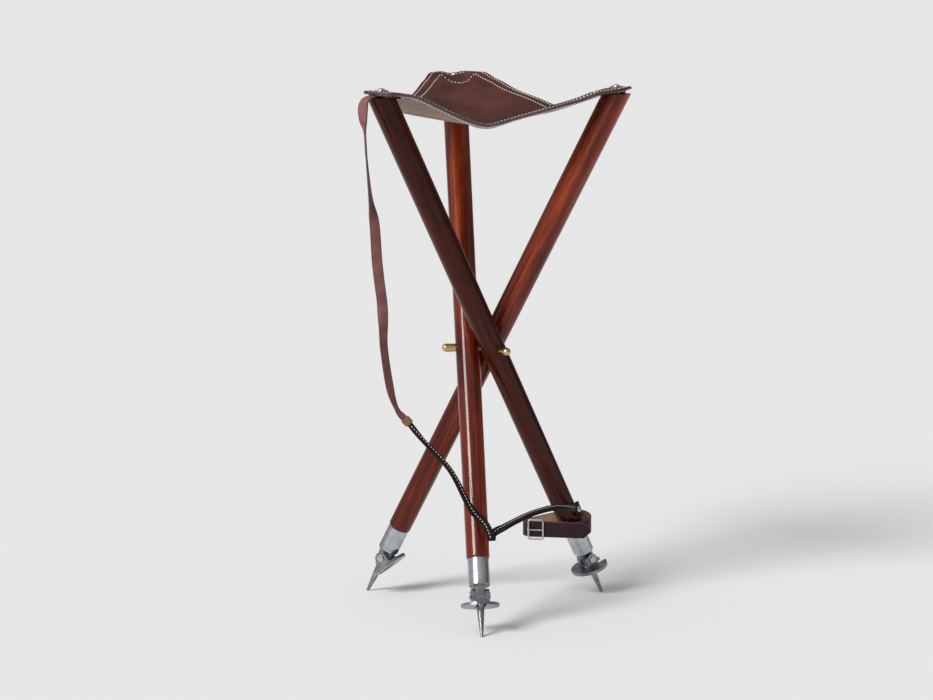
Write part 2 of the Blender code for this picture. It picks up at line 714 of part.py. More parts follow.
def make_sling():
    """Upper strap from under the left seat corner, keeper, and lower strap to the left leg's foot."""
    corner = corner_matrix("left")
    middle = PATCH_LOW + SLING_THICKNESS / 2
    tucked = corner @ Vector((0.0, -PATCH_OUT - CLEAR, middle))
    rim = corner @ Vector((0.0, -LEG_TOP_RADIUS / math.cos(LEG_TILT) - SLING_THICKNESS / 2, middle))
    upper = [
        (*tucked, *facing(210.0, 90.0)),
        (*rim, *facing(210.0, 85.0)),
        hung(-0.0251, -0.0145, 0.0040, 210.0, 40.0),
        hung(-0.0276, -0.0160, 0.0200, 205.0),
        hung(-0.0206, -0.0165, 0.0790, 182.0),
        hung(-0.0156, -0.0165, 0.1310, 170.0),
        hung(-0.0106, -0.0155, 0.1840, 115.0),
        hung(-0.0026, -0.0145, 0.2620, 92.0),
        hung(0.0014, -0.0135, 0.3280, 90.0),
        hung(0.0094, -0.0135, 0.3810, 90.0),
        hung(0.0184, -0.0145, 0.4080, 90.0),
        hung(0.0274, -0.0155, 0.4190, 90.0),
    ]
    upper_route = smooth_route(upper, UPPER_SLING_STEP)
    strap("sling_upper", upper_route, SLING_WIDTH, SLING_THICKNESS, STRAP)
    joint = Vector(upper_route[-1, :3])
    way = Vector(upper_route[-1, :3] - upper_route[-2, :3]).normalized()
    start = joint + way * (KEEPER_LENGTH + CLEAR + KEEPER_PLAY)
    lower = [
        (*start, *facing(90.0)),
        passing("rear", -0.0719, -0.0741, 0.2520, 90.0),
        passing("rear", -0.0369, -0.0606, 0.2130, 90.0),
        passing("rear", -0.0109, -0.0440, 0.1640, 92.0),
        passing("rear", 0.0111, -0.0306, 0.1270, 95.0),
        passing("rear", 0.0291, -0.0247, 0.1330, 105.0, 10.0),
        passing("rear", 0.0511, -0.0080, 0.1430, 125.0, 15.0),
        passing("rear", 0.0801, 0.0335, 0.1460, 140.0, 10.0),
        passing("left", -0.0187, -0.0761, 0.1440, 145.0, 5.0),
        passing("left", 0.0016, -0.0462, 0.1360, 148.0),
        sling_end(SLING_SCREW_ANGLE - 6.0, SLING_SCREW_HEIGHT + 0.002),
        sling_end(SLING_SCREW_ANGLE + 10.0, SLING_SCREW_HEIGHT - 0.002),
        sling_end(SLING_SCREW_ANGLE + 32.0, SLING_SCREW_HEIGHT - 0.005),
    ]
    lower_route = smooth_route(lower, LOWER_SLING_STEP)
    lower_strap = strap("sling_lower", lower_route, LOWER_SLING_WIDTH, LOWER_SLING_THICKNESS, STRAP)
    half = Vector((SLING_WIDTH / 2 + KEEPER_WALL, SLING_THICKNESS / 2 + KEEPER_WALL, 0.0))
    length = Vector((0.0, 0.0, KEEPER_LENGTH))
    keeper = part("sling_keeper", block(-half, half + length), STRAP)
    across = Vector(upper_route[-1, 3:6]).cross(way).normalized()
    keeper.matrix_local = Matrix((across, way.cross(across), way)).transposed().to_4x4()
    keeper.location = joint + way * CLEAR
    fasten_sling(lower_strap)


def fasten_sling(lower_strap):
    """Screw through the lower strap's end into the left leg."""
    point, way = left_leg_point(0.0, SLING_SCREW_ANGLE, SLING_SCREW_HEIGHT)
    along = (SLING_SCREW_HEIGHT - HUB_HEIGHT) / math.cos(LEG_TILT)
    seat = way.to_track_quat("Z", "Y").to_matrix().to_4x4()
    seat.translation = point
    frame = empty("sling_screw_frame", LEG_FRAMES["left"], leg_matrix("left").inverted() @ seat)
    surface = leg_radius(along)
    head_low = surface + SLING_SEAT + LOWER_SLING_THICKNESS + 3 * CLEAR
    turned("sling_screw", screw_profile(head_low, SLING_SCREW_LENGTH), STEEL, frame, SMALL_ROUND)
    hole = cylinder(SCREW_RADIUS + BORE_PLAY, head_low - SLING_SCREW_LENGTH - CLEAR, 2 * surface)
    bore = tool("sling_screw_bore", hole, frame)
    combine(lower_strap, bore)
    combine(bpy.data.objects["leg_left"], bore)


# Binding belt and buckle


def belt_slope():
    """Angle between the belt's straight runs and its loop's middle line."""
    return math.asin((BELT_LEG_RADIUS - BELT_FAR_RADIUS) / BELT_LOOP_LENGTH)


def belt_route():
    """From the buckle round the leg and the loop's far end, and over the first layer to the tail."""
    slope = belt_slope()
    lap = BELT_THICKNESS + BELT_LAP
    leg_bend = np.array((-BELT_SET, 0.0))
    far_bend = leg_bend + (BELT_LOOP_LENGTH, 0.0)
    front = math.pi / 2 - slope
    ahead = np.array((math.cos(slope), -math.sin(slope)))
    points = []

    def add(point, angle):
        points.append((*point, 0.0, math.cos(angle), math.sin(angle), 0.0))

    def around(centre, start, end, first, last, steps):
        for share in np.linspace(0.0, 1.0, steps):
            angle = start + share * (end - start)
            radius = first + share * (last - first)
            add(centre + radius * np.array((math.cos(angle), math.sin(angle))), angle)

    first = leg_bend + BELT_LEG_RADIUS * np.array((math.cos(front), math.sin(front)))
    for share in (1.0, 0.66, 0.33):
        add(first + ahead * share * BUCKLE_NEAR, front)
    around(leg_bend, front, 2 * math.pi - front, BELT_LEG_RADIUS, BELT_LEG_RADIUS, 18)
    around(far_bend, -front, front, BELT_FAR_RADIUS, BELT_FAR_RADIUS + lap, 12)
    outer = leg_bend + (BELT_LEG_RADIUS + lap) * np.array((math.cos(front), math.sin(front)))
    for share in (0.6, 0.3, 0.0):
        add(outer + ahead * share * BELT_LOOP_LENGTH, front)
    for share in (0.5, 1.0):
        add(outer - ahead * share * BELT_TAIL, front)
    return smooth_route(points, BELT_STEP)


def make_belt():
    point = left_leg_point(0.0, 0.0, BELT_HEIGHT)[0]
    level = Matrix.Translation(point) @ Matrix.Rotation(math.radians(BELT_AZIMUTH), 4, "Z")
    frame = empty("belt_frame", LEG_FRAMES["left"], leg_matrix("left").inverted() @ level)
    route = belt_route()
    length = float(np.linalg.norm(np.diff(route[:, :3], axis=0), axis=1).sum())

    def pointed(share):
        return min(1.0, BELT_BLUNT + (1.0 - share) * length / BELT_POINT)

    strap("binding_belt", route, BELT_WIDTH, BELT_THICKNESS, BELT, frame, pointed)
    make_buckle(frame)


def make_buckle(frame):
    """Wire frame on the belt's outer layer, and a prong that turns on the bar nearer the leg."""
    slope = belt_slope()
    front = math.pi / 2 - slope
    lap = BELT_THICKNESS + BELT_LAP
    stand_off = BELT_LEG_RADIUS + lap + BELT_THICKNESS / 2 + WIRE_RADIUS + CLEAR
    ahead = Vector((math.cos(slope), -math.sin(slope), 0.0))
    out = Vector((math.cos(front), math.sin(front), 0.0))
    matrix = Matrix((ahead, -UP, out)).transposed().to_4x4()
    matrix.translation = Vector((-BELT_SET, 0.0, 0.0)) + out * stand_off + ahead * BUCKLE_NEAR
    bar = empty("buckle_bar", frame, matrix)
    bend = 2 * WIRE_RADIUS
    curve = bpy.data.curves.new("buckle_frame", "CURVE")
    curve.dimensions = "3D"
    curve.bevel_depth = WIRE_RADIUS
    curve.bevel_resolution = 2
    half = BUCKLE_HEIGHT / 2
    centres = [(bend, half - bend), (bend, bend - half)]
    centres += [(BUCKLE_LENGTH - bend, bend - half), (BUCKLE_LENGTH - bend, half - bend)]
    ring = []
    for quarter, (x, y) in enumerate(centres):
        for step in range(BEND_STEPS + 1):
            angle = math.pi / 2 * (quarter + 1 + step / BEND_STEPS)
            ring.append((x + bend * math.cos(angle), y + bend * math.sin(angle)))
    spline = curve.splines.new("POLY")
    spline.points.add(len(ring) - 1)
    for point, (x, y) in zip(spline.points, ring):
        point.co = (x, y, 0.0, 1.0)
    spline.use_cyclic_u = True
    buckle = bpy.data.objects.new("buckle_frame", curve)
    PARTS.objects.link(buckle)
    buckle.parent = bar
    name, colour, roughness, metallic = STEEL
    curve.materials.append(make_material("buckle_frame_" + name, colour, roughness, metallic))
    rod = cylinder(PRONG_RADIUS, -WIRE_RADIUS, BUCKLE_LENGTH + WIRE_RADIUS, "X")
    lift = WIRE_RADIUS + PRONG_RADIUS + CLEAR
    bmesh.ops.translate(rod, verts=rod.verts, vec=(0.0, 0.0, lift))
    part("buckle_prong", rod, STEEL, bar)


def main():
    make_frames()
    for name in ARM_AZIMUTHS:
        make_leg(name)
        make_nut(name)
        make_foot(name)
        make_stud(name)
        make_plate(name)
        make_pin(name)
        make_corner(name)
        for other in ARM_AZIMUTHS:
            if other != name:
                make_gore(name, other)
    make_bolt()
    make_sling()
    make_belt()


main()
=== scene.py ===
"""Looks of the tripod hunting stool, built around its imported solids.

Metres, +Z up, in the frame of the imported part. The floor is z = 0.
"""

import json
import math

import bmesh
import bpy
import numpy as np
from mathutils import Matrix, Vector


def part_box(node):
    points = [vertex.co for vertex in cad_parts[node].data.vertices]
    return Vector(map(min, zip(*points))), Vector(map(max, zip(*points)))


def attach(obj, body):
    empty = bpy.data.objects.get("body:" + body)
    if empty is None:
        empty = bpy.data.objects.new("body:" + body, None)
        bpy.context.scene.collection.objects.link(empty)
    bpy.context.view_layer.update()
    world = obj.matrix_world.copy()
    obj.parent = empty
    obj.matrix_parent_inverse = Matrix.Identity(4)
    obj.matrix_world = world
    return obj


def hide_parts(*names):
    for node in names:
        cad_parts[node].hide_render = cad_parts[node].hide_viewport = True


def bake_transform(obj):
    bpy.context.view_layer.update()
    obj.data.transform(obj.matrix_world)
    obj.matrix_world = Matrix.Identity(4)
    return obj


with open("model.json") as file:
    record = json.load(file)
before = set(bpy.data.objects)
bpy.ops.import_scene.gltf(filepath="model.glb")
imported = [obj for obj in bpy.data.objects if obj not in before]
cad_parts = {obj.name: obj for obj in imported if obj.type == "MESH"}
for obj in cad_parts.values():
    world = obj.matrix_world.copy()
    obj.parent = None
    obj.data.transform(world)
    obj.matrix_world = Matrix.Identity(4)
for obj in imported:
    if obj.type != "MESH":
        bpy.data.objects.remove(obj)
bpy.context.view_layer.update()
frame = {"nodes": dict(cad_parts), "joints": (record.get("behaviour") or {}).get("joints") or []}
LEGS = ("rear", "left", "right")

# Hide
HIDE_THICKNESS = 0.0040
HIDE_MARGIN = 0.0258  # hide's edge outside the line between two leg tops
CORNER_OUT = 0.017  # hide's end beyond a leg top's centre
CORNER_IN = 0.024  # flat part of the hide inside a leg top's centre
CORNER_ROUND = 0.010
HALF_CORNER = math.pi / 6  # half the angle of the hide's corner
EDGE_BULGE = 0.0013  # rounded edge outside the hide's flat faces
SEAT_SAG = 0.052
SAG_CREASE = 14.0  # sharpness of the creases between the lobes
SAG_SLOPE = 1.12  # fall of each lobe toward the middle, as a share of an even slope
SAG_SOFT = 0.05  # rounding where a lobe leaves its flat corner
SAG_BOTTOM = 1.33  # rounding at the middle
SAG_BOTTOM_START = 0.70
CREASE_SHIFT = {"rear": ("right", 0.058), "left": ("rear", 0.065), "right": ("rear", 0.060)}
FRONT_HANG = 0.0095  # front edge's fall below the lobes beside it
HANG_LEFT = (0.62, 0.10)  # where that fall starts and is whole, along the edge from 1 at the left leg
HANG_RIGHT = (-0.95, -0.60)  # the same, from -1 at the right leg
LEAST_SHARE = 0.1  # keeps the place along that edge away from a division by zero
CORNER_DROP = {"rear": 0.0070, "left": 0.0025, "right": 0.0040}  # hide's fall over a leg's inner rim
DROP_START = (0.978, 0.900)  # shares of the hide where that fall starts and is whole
DROP_END = (0.580, 0.850)  # shares of the hide where it is gone and still whole
LINING_WIDTH = 0.0165  # lining sewn under the hide's edges
LINING_STEP = 0.0004  # softness of the lining's border
PATCH_THICKNESS = 0.0034
PATCH_HALF_WIDTH = 0.019
PATCH_OUT = 0.008
PATCH_IN = 0.0205
PATCH_ROUND = 0.004
PATCH_STEPS = 10
END_CURL = {"rear": 0.0, "left": 0.0012, "right": 0.0020}  # lift of each corner's outer end
CURL_START = 0.006  # where that lift starts, beyond the leg top's centre
DISH = {"rear": 0.0054, "left": 0.0, "right": 0.0}  # lift of a corner's rim round its screw
DISH_REACH = (0.0095, 0.0240)  # where that lift starts and is whole, from the screw
DISH_FADE = (0.76, 0.985)  # shares of the hide where that lift starts and is whole
CREASE_SHADE_WIDTH = 0.07  # of the band of painted shade along each crease, in shares of the hide
SLOPE_STEP = 0.0005
TAB_STEPS = 9
GORE_STEPS = 30
PANEL_ROWS = 26
ROW_CROWDING = 0.8  # power that sets the rows of a panel wider at its middle line
EDGE_STEPS = 5
ABOVE, BELOW, RIM, CUT = range(4)  # kinds of a sheet's faces; a cut has the rim's material
BEND = (0.016, 0.100)  # start and end of a bend between a leg and its panel, which the hide pieces are not given
BEND_INWARD = 0.774  # direction of the bend: share inward, and the rest sideways

# Stitching
OUTER_ROW = 0.0050  # from the hide's edge
INNER_ROW = 0.0150
STITCH_PITCH = 0.0046
STITCH_LENGTH = 0.0028
STITCH_RADIUS = 0.00062
STRAP_STITCH_RADIUS = 0.00042
STITCH_SIDES = 6
STITCH_SHAPE = (  # rings of a stitch: share of its half length, thickness and lift
    (-1.0, 0.30, -0.5),
    (-0.78, 0.85, 0.15),
    (0.0, 1.0, 0.45),
    (0.78, 0.85, 0.15),
    (1.0, 0.30, -0.5),
)
POINT_START = 0.021  # inner row's turn across each corner, inside the leg top's centre
POINT_TIP = 0.0375
CORNER_STEPS = 4

# Sling
SLING_WIDTH = 0.014
SLING_THICKNESS = 0.0026
LOWER_SLING_WIDTH = 0.0105
LOWER_SLING_THICKNESS = 0.0040
SLING_AZIMUTH = 210.0  # of the upper strap's way off the left leg's top
SLING_OVER = 0.0185  # where it turns down, from the leg top's centre
KEEPER_LENGTH = 0.010
KEEPER_TUCK = 0.0020  # lower strap's start inside the keeper's end
KEEPER_AZIMUTH = 100.0
KEEPER_GATHER = 0.36  # share of its width that the upper strap loses at the keeper
GATHER_FADE = (0.88, 0.975)  # shares of the strap where that starts and is whole
LOWER_GATHER = 0.30  # share of its width that the lower strap loses at the keeper
LOWER_FADE = 0.22  # share of that strap where it has its whole width
SLING_SEAT = 0.0011
SLING_SCREW_HEIGHT = 0.121
SLING_SCREW_ANGLE = 25.0
SLING_TAB = ((-6.0, 0.002), (10.0, -0.002), (32.0, -0.005))  # turn and rise of its end, from the screw
LEG_FOOT_RADIUS = 0.0157  # left leg's radius at the sling's screw
SLING_STEP = 0.004
LOWER_SLING_STEP = 0.0015
TAB_WIDEN = 1.0  # extra width of the sling's end on the leg, as a share
TAB_LENGTH = 0.020
TAB_FLARE = 0.4  # share of that length over which it widens
TAB_STATIONS = 18  # route points of that end, left without stitches
SEAM = 0.0008  # depth of the groove between the lower strap's layers
STITCH_ASIDE = 0.0008  # its stitches' distance from its middle
STRAP_ROUND = 0.6  # rounding of a strap's edges, as a share of half its thickness
STRAP_BEND_STEPS = 3
ROUTE_FINE = 12
STRAP_ANGLE = math.radians(50.0)  # of edges that stay sharp

# Belt
BELT_HEIGHT = 0.097
BELT_WIDTH = 0.0215
BELT_THICKNESS = 0.0024
BELT_AZIMUTH = 174.2
BELT_LEG_RADIUS = 0.0226
BELT_FAR_RADIUS = 0.0135
BELT_LOOP_LENGTH = 0.0535
BELT_SET = 0.0015
BELT_RISE = 0.010  # of the belt's run behind the leg
BELT_LEG_STEPS = 18
BELT_FAR_STEPS = 12
BELT_TAIL = 0.027
BELT_POINT = 0.011
BELT_BLUNT = 0.15
BELT_LAP = 0.0012
BUCKLE_NEAR = 0.0385
BELT_STEP = 0.0025
HOLE_RADIUS = 0.0016
HOLE_RIM = ((1.0, 0.00002), (0.86, 0.00030), (0.70, 0.00030), (0.58, 0.00004))  # radius share, height
HOLE_SIDES = 20
HOLE_SPACING = 0.011
HOLE_START = 2  # spacings from the belt's tip to its first hole
HOLE_COUNT = 4

# Wood and metal
ROUNDING = {  # rounding of the edges of the pieces whose names start so
    "leg": 0.0007,
    "foot": 0.0006,
    "plate_pin": 0.0004,
    "plate": 0.0008,
    "cap_nut": 0.0005,
    "seat_washer": 0.0003,
    "seat_screw": 0.0002,
    "ferrule_stud": 0.0002,
    "three_way_bolt": 0.0003,
    "sling_keeper": 0.0012,
    "sling_screw": 0.0002,
    "buckle_frame": 0.0001,
    "buckle_prong": 0.0003,
}
FERRULE_LENGTH = 0.044
SLOT_LENGTH = 0.02
SLOT_WIDTH = 0.0009
SLOT_DEPTH = 0.0011
SLOT_WAY = Vector((0.8, 0.6, 0.0))
LEG_RIM = 0.004  # wood below a leg's top that follows the hide's bend
CLEAR = 0.0003
WELD = 0.00001
SMOOTH_ANGLE = math.radians(32.0)
FLAT_ANGLE = math.radians(0.5)

# Stage, light and camera
CAMERA_AT = Vector((-0.4942, -4.6366, 1.0469))  # from the bolt axis on the floor
CAMERA_AIM = Vector((-0.0247, -0.0118, 0.3533))
LENS = 135.3
SENSOR_WIDTH = 36.0
CLIP_END = 200.0
FLOOR_SIZE = 60.0
FLOOR_COLOUR = (0.80, 0.80, 0.80, 1.0)
SUN_FROM = Vector((-0.62, -0.485, 0.617))  # front left, above
SUN_ANGLE = math.radians(24.0)
SUN_STRENGTH = 2.91
WORLD_DARK = (0.03, 0.03, 0.035)
WORLD_PALE = (0.62, 0.62, 0.62)

UP = Vector((0.0, 0.0, 1.0))
IDENTITY = Matrix.Identity(4)
WHITE = (1.0, 1.0, 1.0)
JOINTS = {joint["name"]: joint for joint in frame["joints"]}
FOLDS = {"rear": "fold", "left": "fold_left", "right": "fold_right"}


def middle(node):
    low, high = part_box(node)
    return (low + high) / 2


LEG_TOP_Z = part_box("leg_rear")[1].z
SEAT_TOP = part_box("seat_corner_rear")[1].z
SCREWS = {name: middle(f"seat_screw_{name}") for name in LEGS}
HUB_PLAN = sum((SCREWS[name].xy for name in LEGS), Vector((0.0, 0.0))) / len(LEGS)
TOPS = {name: np.array(SCREWS[name].xy - HUB_PLAN) for name in LEGS}
REACH = float(np.linalg.norm(TOPS["rear"]))
SAG_START = CORNER_IN / (1.5 * REACH)
SAG_END = 1.0 - 3.0 ** (1.0 / SAG_CREASE) / 3.0


def leg_matrix(name):
    """Local X along the bolt arm, local Z up the leg, origin where the leg turns on the bolt."""
    joint = JOINTS[FOLDS[name]]
    arm = -Vector(joint["axis"])
    pivot = Vector(joint["pos_m"])
    along = (Vector((*SCREWS[name].xy, LEG_TOP_Z)) - pivot).normalized()
    matrix = Matrix((arm, along.cross(arm), along)).transposed().to_4x4()
    matrix.translation = pivot
    return matrix


LEG_MATRICES = {name: leg_matrix(name) for name in LEGS}
LEG_AXES = {name: LEG_MATRICES[name].to_3x3() @ UP for name in LEGS}


def leg_axis_at(name, height):
    """The point of a leg's axis at a height."""
    start = LEG_MATRICES[name].translation
    return start + LEG_AXES[name] * ((height - start.z) / LEG_AXES[name].z)


# Shader nodes


class Shader:
    """The node tree of a new material or world, with short ways to add and join nodes."""

    def __init__(self, name, world=False):
        owners = bpy.data.worlds if world else bpy.data.materials
        self.owner = owners.new(name)
        self.owner.use_nodes = True
        self.tree = self.owner.node_tree
        self.surface = self.tree.nodes["Background" if world else "Principled BSDF"]

    def join(self, value, socket):
        """Link an input to an output or set it to a value. None leaves it as it is."""
        if isinstance(value, bpy.types.NodeSocket):
            self.tree.links.new(value, socket)
        elif value is not None:
            socket.default_value = value

    def fill(self, node, inputs):
        """Join values to a node's inputs, whose names have _ for each space."""
        for key, value in inputs.items():
            self.join(value, node.inputs[key.replace("_", " ")])

    def node(self, kind, settings=None, **inputs):
        node = self.tree.nodes.new(f"ShaderNode{kind}")
        for key, value in (settings or {}).items():
            setattr(node, key, value)
        self.fill(node, inputs)
        return node

    def add(self, kind, output, settings=None, **inputs):
        """One output of a new node."""
        return self.node(kind, settings, **inputs).outputs[output]

    def coords(self, scale=(1.0, 1.0, 1.0), shift=0.0):
        """Places on the piece, in the frame of the leg that carries it where it has one."""
        place = self.add("Attribute", "Vector", {"attribute_name": "place"})
        return self.add("Mapping", "Vector", Vector=place, Location=(shift,) * 3, Scale=scale)

    def noise(self, vector, scale, detail=4.0, roughness=0.55, distortion=0.0):
        look = {"Detail": detail, "Roughness": roughness, "Distortion": distortion}
        return self.add("TexNoise", "Fac", Vector=vector, Scale=scale, **look)

    def cells(self, vector, scale):
        return self.add("TexVoronoi", "Distance", Vector=vector, Scale=scale)

    def ramp(self, value, *stops):
        node = self.node("ValToRGB", Fac=value)
        elements = node.color_ramp.elements
        while len(elements) < len(stops):
            elements.new(1.0)
        for element, (place, colour) in zip(elements, stops):
            element.position = place
            element.color = (*colour, 1.0)
        return node.outputs["Color"]

    def spread(self, value, low, high, end=1.0):
        """Map a value from the range of 0 to end to another range."""
        return self.add("MapRange", "Result", Value=value, From_Max=end, To_Min=low, To_Max=high)

    def attribute(self, label, end):
        """A value kept on the mesh, from 0 at 0 to 1 at end."""
        value = self.add("Attribute", "Fac", {"attribute_name": label})
        return self.spread(value, 0.0, 1.0, end)

    def maths(self, operation, first, second):
        node = self.node("Math", {"operation": operation})
        self.join(first, node.inputs[0])
        self.join(second, node.inputs[1])
        return node.outputs["Value"]

    def mixed(self, share, first, second, mode="MIX"):
        node = self.node("Mix", {"data_type": "RGBA", "blend_type": mode}, Factor=share)
        colours = [socket for socket in node.inputs if socket.type == "RGBA"]
        self.join(first, colours[0])
        self.join(second, colours[1])
        return next(socket for socket in node.outputs if socket.type == "RGBA")

    def toned(self, colour, share, value, *stops):
        """A colour multiplied by a ramp of a value."""
        return self.mixed(share, colour, self.ramp(value, *stops), "MULTIPLY")

    def bump(self, height, strength, distance, before=None):
        relief = {"Strength": strength, "Distance": distance, "Normal": before}
        return self.add("Bump", "Normal", Height=height, **relief)

    def finish(self, **inputs):
        self.fill(self.surface, inputs)
        return self.owner


# Materials


def wood(name, painted_shade_factor, shift, coat):
    """Red-brown lacquered hardwood: long grain up the leg, dark pores, broad bands and darker clouds. A
    factor darkens or lightens a leg's whole colour, as painted shade on the left leg.
    """
    shader = Shader(f"wood_{name}")
    place = shader.coords((1.0, 1.0, 0.035), shift)
    broad = shader.noise(place, 55.0, 3.0, 0.5, 0.6)
    grain = shader.noise(place, 420.0, 6.0, 0.6, 0.2)
    pores = shader.noise(place, 1500.0, 2.0, 0.5)
    clouds = shader.noise(shader.coords((1.0, 1.0, 0.15), shift), 26.0, 4.0, 0.55, 0.7)
    tones = (0.28, (0.080, 0.009, 0.004)), (0.5, (0.220, 0.027, 0.008)), (0.72, (0.390, 0.064, 0.015))
    # The leg's factor scales every tone: painted shade where it is low.
    colour = shader.ramp(broad, *((spot, tuple(part * painted_shade_factor for part in tone)) for spot, tone in tones))
    colour = shader.toned(colour, 1.0, grain, (0.34, (0.45, 0.38, 0.34)), (0.6, WHITE))
    colour = shader.toned(colour, 0.8, pores, (0.36, (0.55, 0.5, 0.48)), (0.5, WHITE))
    colour = shader.toned(colour, 1.0, clouds, (0.36, (0.34, 0.26, 0.24)), (0.56, WHITE))
    return shader.finish(
        Base_Color=colour,
        Roughness=shader.spread(grain, 0.30, 0.42),
        Normal=shader.bump(grain, 0.06, 0.0004),
        Specular_IOR_Level=0.05,
        Coat_Weight=coat,
        Coat_Roughness=0.05,
        Coat_IOR=1.36,
    )


def hide_leather():
    """Waxed saddle leather: fine pebbled grain, cloudy red-brown colour, and painted shade along the
    creases.
    """
    shader = Shader("seat_leather")
    place = shader.coords()
    clouds = shader.noise(place, 14.0, 5.0, 0.6, 0.5)
    patches = shader.noise(place, 60.0, 4.0, 0.6)
    tones = (0.28, (0.036, 0.0098, 0.008)), (0.5, (0.066, 0.017, 0.012)), (0.74, (0.12, 0.03, 0.017))
    colour = shader.ramp(clouds, *tones)
    colour = shader.toned(colour, 0.7, patches, (0.3, (0.78, 0.74, 0.72)), (0.7, (1.08, 1.05, 1.03)))
    # Painted shade: along the creases the colour is mixed toward a near-black brown.
    crease_shade = shader.maths("MULTIPLY", shader.attribute("crease_shade", 1.0), shader.spread(clouds, 0.9, 0.5))
    colour = shader.mixed(crease_shade, colour, (0.018, 0.0070, 0.0065, 1.0))
    normal = shader.bump(shader.cells(place, 760.0), 0.22, 0.0004)
    normal = shader.bump(shader.noise(place, 1700.0, 3.0), 0.15, 0.0002, normal)
    roughness = shader.spread(patches, 0.40, 0.56)
    return shader.finish(Base_Color=colour, Roughness=roughness, Normal=normal, Specular_IOR_Level=0.22)


def suede():
    """Flesh side of the hide: tan nap with blotches and fibres, and grey lining along its edges."""
    shader = Shader("seat_suede")
    blotch = shader.noise(shader.coords(), 26.0, 5.0, 0.65, 0.8)
    fibre = shader.noise(shader.coords((1.0, 0.35, 1.0)), 900.0, 5.0, 0.7)
    tones = (0.3, (0.185, 0.115, 0.085)), (0.52, (0.310, 0.205, 0.150)), (0.75, (0.440, 0.300, 0.215))
    linings = (shader.attribute(label, LINING_STEP) for label in ("edge_lining", "corner_lining"))
    lined = shader.maths("MAXIMUM", *linings)
    grey = shader.ramp(blotch, (0.3, (0.190, 0.225, 0.290)), (0.7, (0.400, 0.440, 0.510)))
    colour = shader.mixed(lined, shader.ramp(blotch, *tones), grey)
    colour = shader.toned(colour, 0.85, fibre, (0.3, (0.72, 0.70, 0.70)), (0.65, (1.05, 1.04, 1.03)))
    normal = shader.bump(fibre, 0.35, 0.0006)
    normal = shader.bump(lined, 1.0, 0.0008, normal)
    return shader.finish(
        Base_Color=colour, Roughness=0.92, Normal=normal, Specular_IOR_Level=0.1, Sheen_Weight=0.15
    )


def leather(name, low, high, scale, roughness, gloss):
    """Plain dyed leather in two tones, with pores and worn spots."""
    shader = Shader(name)
    place = shader.coords()
    clouds = shader.noise(place, 45.0, 5.0, 0.6, 0.4)
    fine = shader.noise(place, 1.7 * scale, 3.0)
    colour = shader.ramp(clouds, (0.3, low), (0.72, high))
    colour = shader.toned(colour, 0.7, fine, (0.35, (0.82, 0.80, 0.80)), (0.65, (1.08, 1.06, 1.05)))
    normal = shader.bump(shader.cells(place, scale), 0.25, 0.0003)
    normal = shader.bump(fine, 0.2, 0.0002, normal)
    gloss_map = shader.spread(clouds, roughness - 0.07, roughness + 0.08)
    return shader.finish(Base_Color=colour, Roughness=gloss_map, Normal=normal, Specular_IOR_Level=gloss)


def metal(name, low, high, roughness, grain, scale, depth):
    """Metal whose tone and gloss vary, with turning marks or a spotted cast skin."""
    shader = Shader(name)
    place = shader.coords()
    cloud = shader.noise(place, 90.0, 4.0, 0.6)
    skin = shader.noise(place, scale, 4.0, 0.65)
    marks = shader.noise(shader.coords(grain), 1400.0, 3.0, 0.6)
    colour = shader.ramp(cloud, (0.3, low), (0.7, high))
    colour = shader.toned(colour, 2.0 * depth, skin, (0.40, (0.45, 0.45, 0.46)), (0.60, (1.2, 1.2, 1.2)))
    normal = shader.bump(skin, depth, 0.0005)
    normal = shader.bump(marks, 0.10, 0.0002, normal)
    gloss_map = shader.spread(skin, roughness - 0.08, roughness + 0.12)
    return shader.finish(Base_Color=colour, Metallic=1.0, Roughness=gloss_map, Normal=normal)


def thread():
    shader = Shader("white_thread")
    twist = shader.noise(shader.coords(), 2600.0, 2.0)
    colour = shader.ramp(twist, (0.3, (0.58, 0.54, 0.48)), (0.65, (0.86, 0.83, 0.77)))
    normal = shader.bump(twist, 0.4, 0.0002)
    return shader.finish(Base_Color=colour, Roughness=0.75, Normal=normal, Sheen_Weight=0.2)


WOODS = {
    "rear": wood("rear", 1.0, 0.0, 0.9),
    # The left leg's factor of 0.28 is painted shade.
    "left": wood("left", 0.28, 3.1, 0.5),
    "right": wood("right", 1.05, 7.7, 0.8),
}
HIDE = hide_leather()
SUEDE = suede()
EDGE = leather("burnished_edge", (0.055, 0.028, 0.030), (0.135, 0.072, 0.072), 900.0, 0.50, 0.25)
STRAP = leather("strap_leather", (0.130, 0.048, 0.046), (0.250, 0.098, 0.092), 850.0, 0.50, 0.25)
# Near-black leather of the lower strap; the same material is painted shade in the belt's holes.
DARK_STRAP_AND_HOLE_SHADE = leather(
    "dark_strap_leather_and_hole_shade", (0.008, 0.005, 0.005), (0.024, 0.014, 0.014), 850.0, 0.50, 0.10
)
BELT = leather("belt_leather", (0.014, 0.005, 0.007), (0.042, 0.014, 0.018), 850.0, 0.46, 0.20)
FLESH = leather("flesh_side", (0.330, 0.190, 0.110), (0.520, 0.330, 0.210), 700.0, 0.85, 0.1)
PATCH = leather("patch_suede", (0.030, 0.018, 0.015), (0.080, 0.048, 0.040), 700.0, 0.85, 0.1)
TAN = leather("tan_keeper", (0.110, 0.062, 0.028), (0.240, 0.140, 0.064), 850.0, 0.50, 0.25)
CAST = metal("cast_aluminium", (0.18, 0.195, 0.21), (0.40, 0.415, 0.43), 0.27, WHITE, 700.0, 0.35)
TURNED = (1.0, 1.0, 0.1)
BRIGHT = metal("bright_aluminium", (0.35, 0.375, 0.405), (0.58, 0.605, 0.63), 0.18, TURNED, 160.0, 0.05)
BRASS = metal("brass", (0.48, 0.34, 0.13), (0.72, 0.55, 0.27), 0.22, WHITE, 300.0, 0.08)
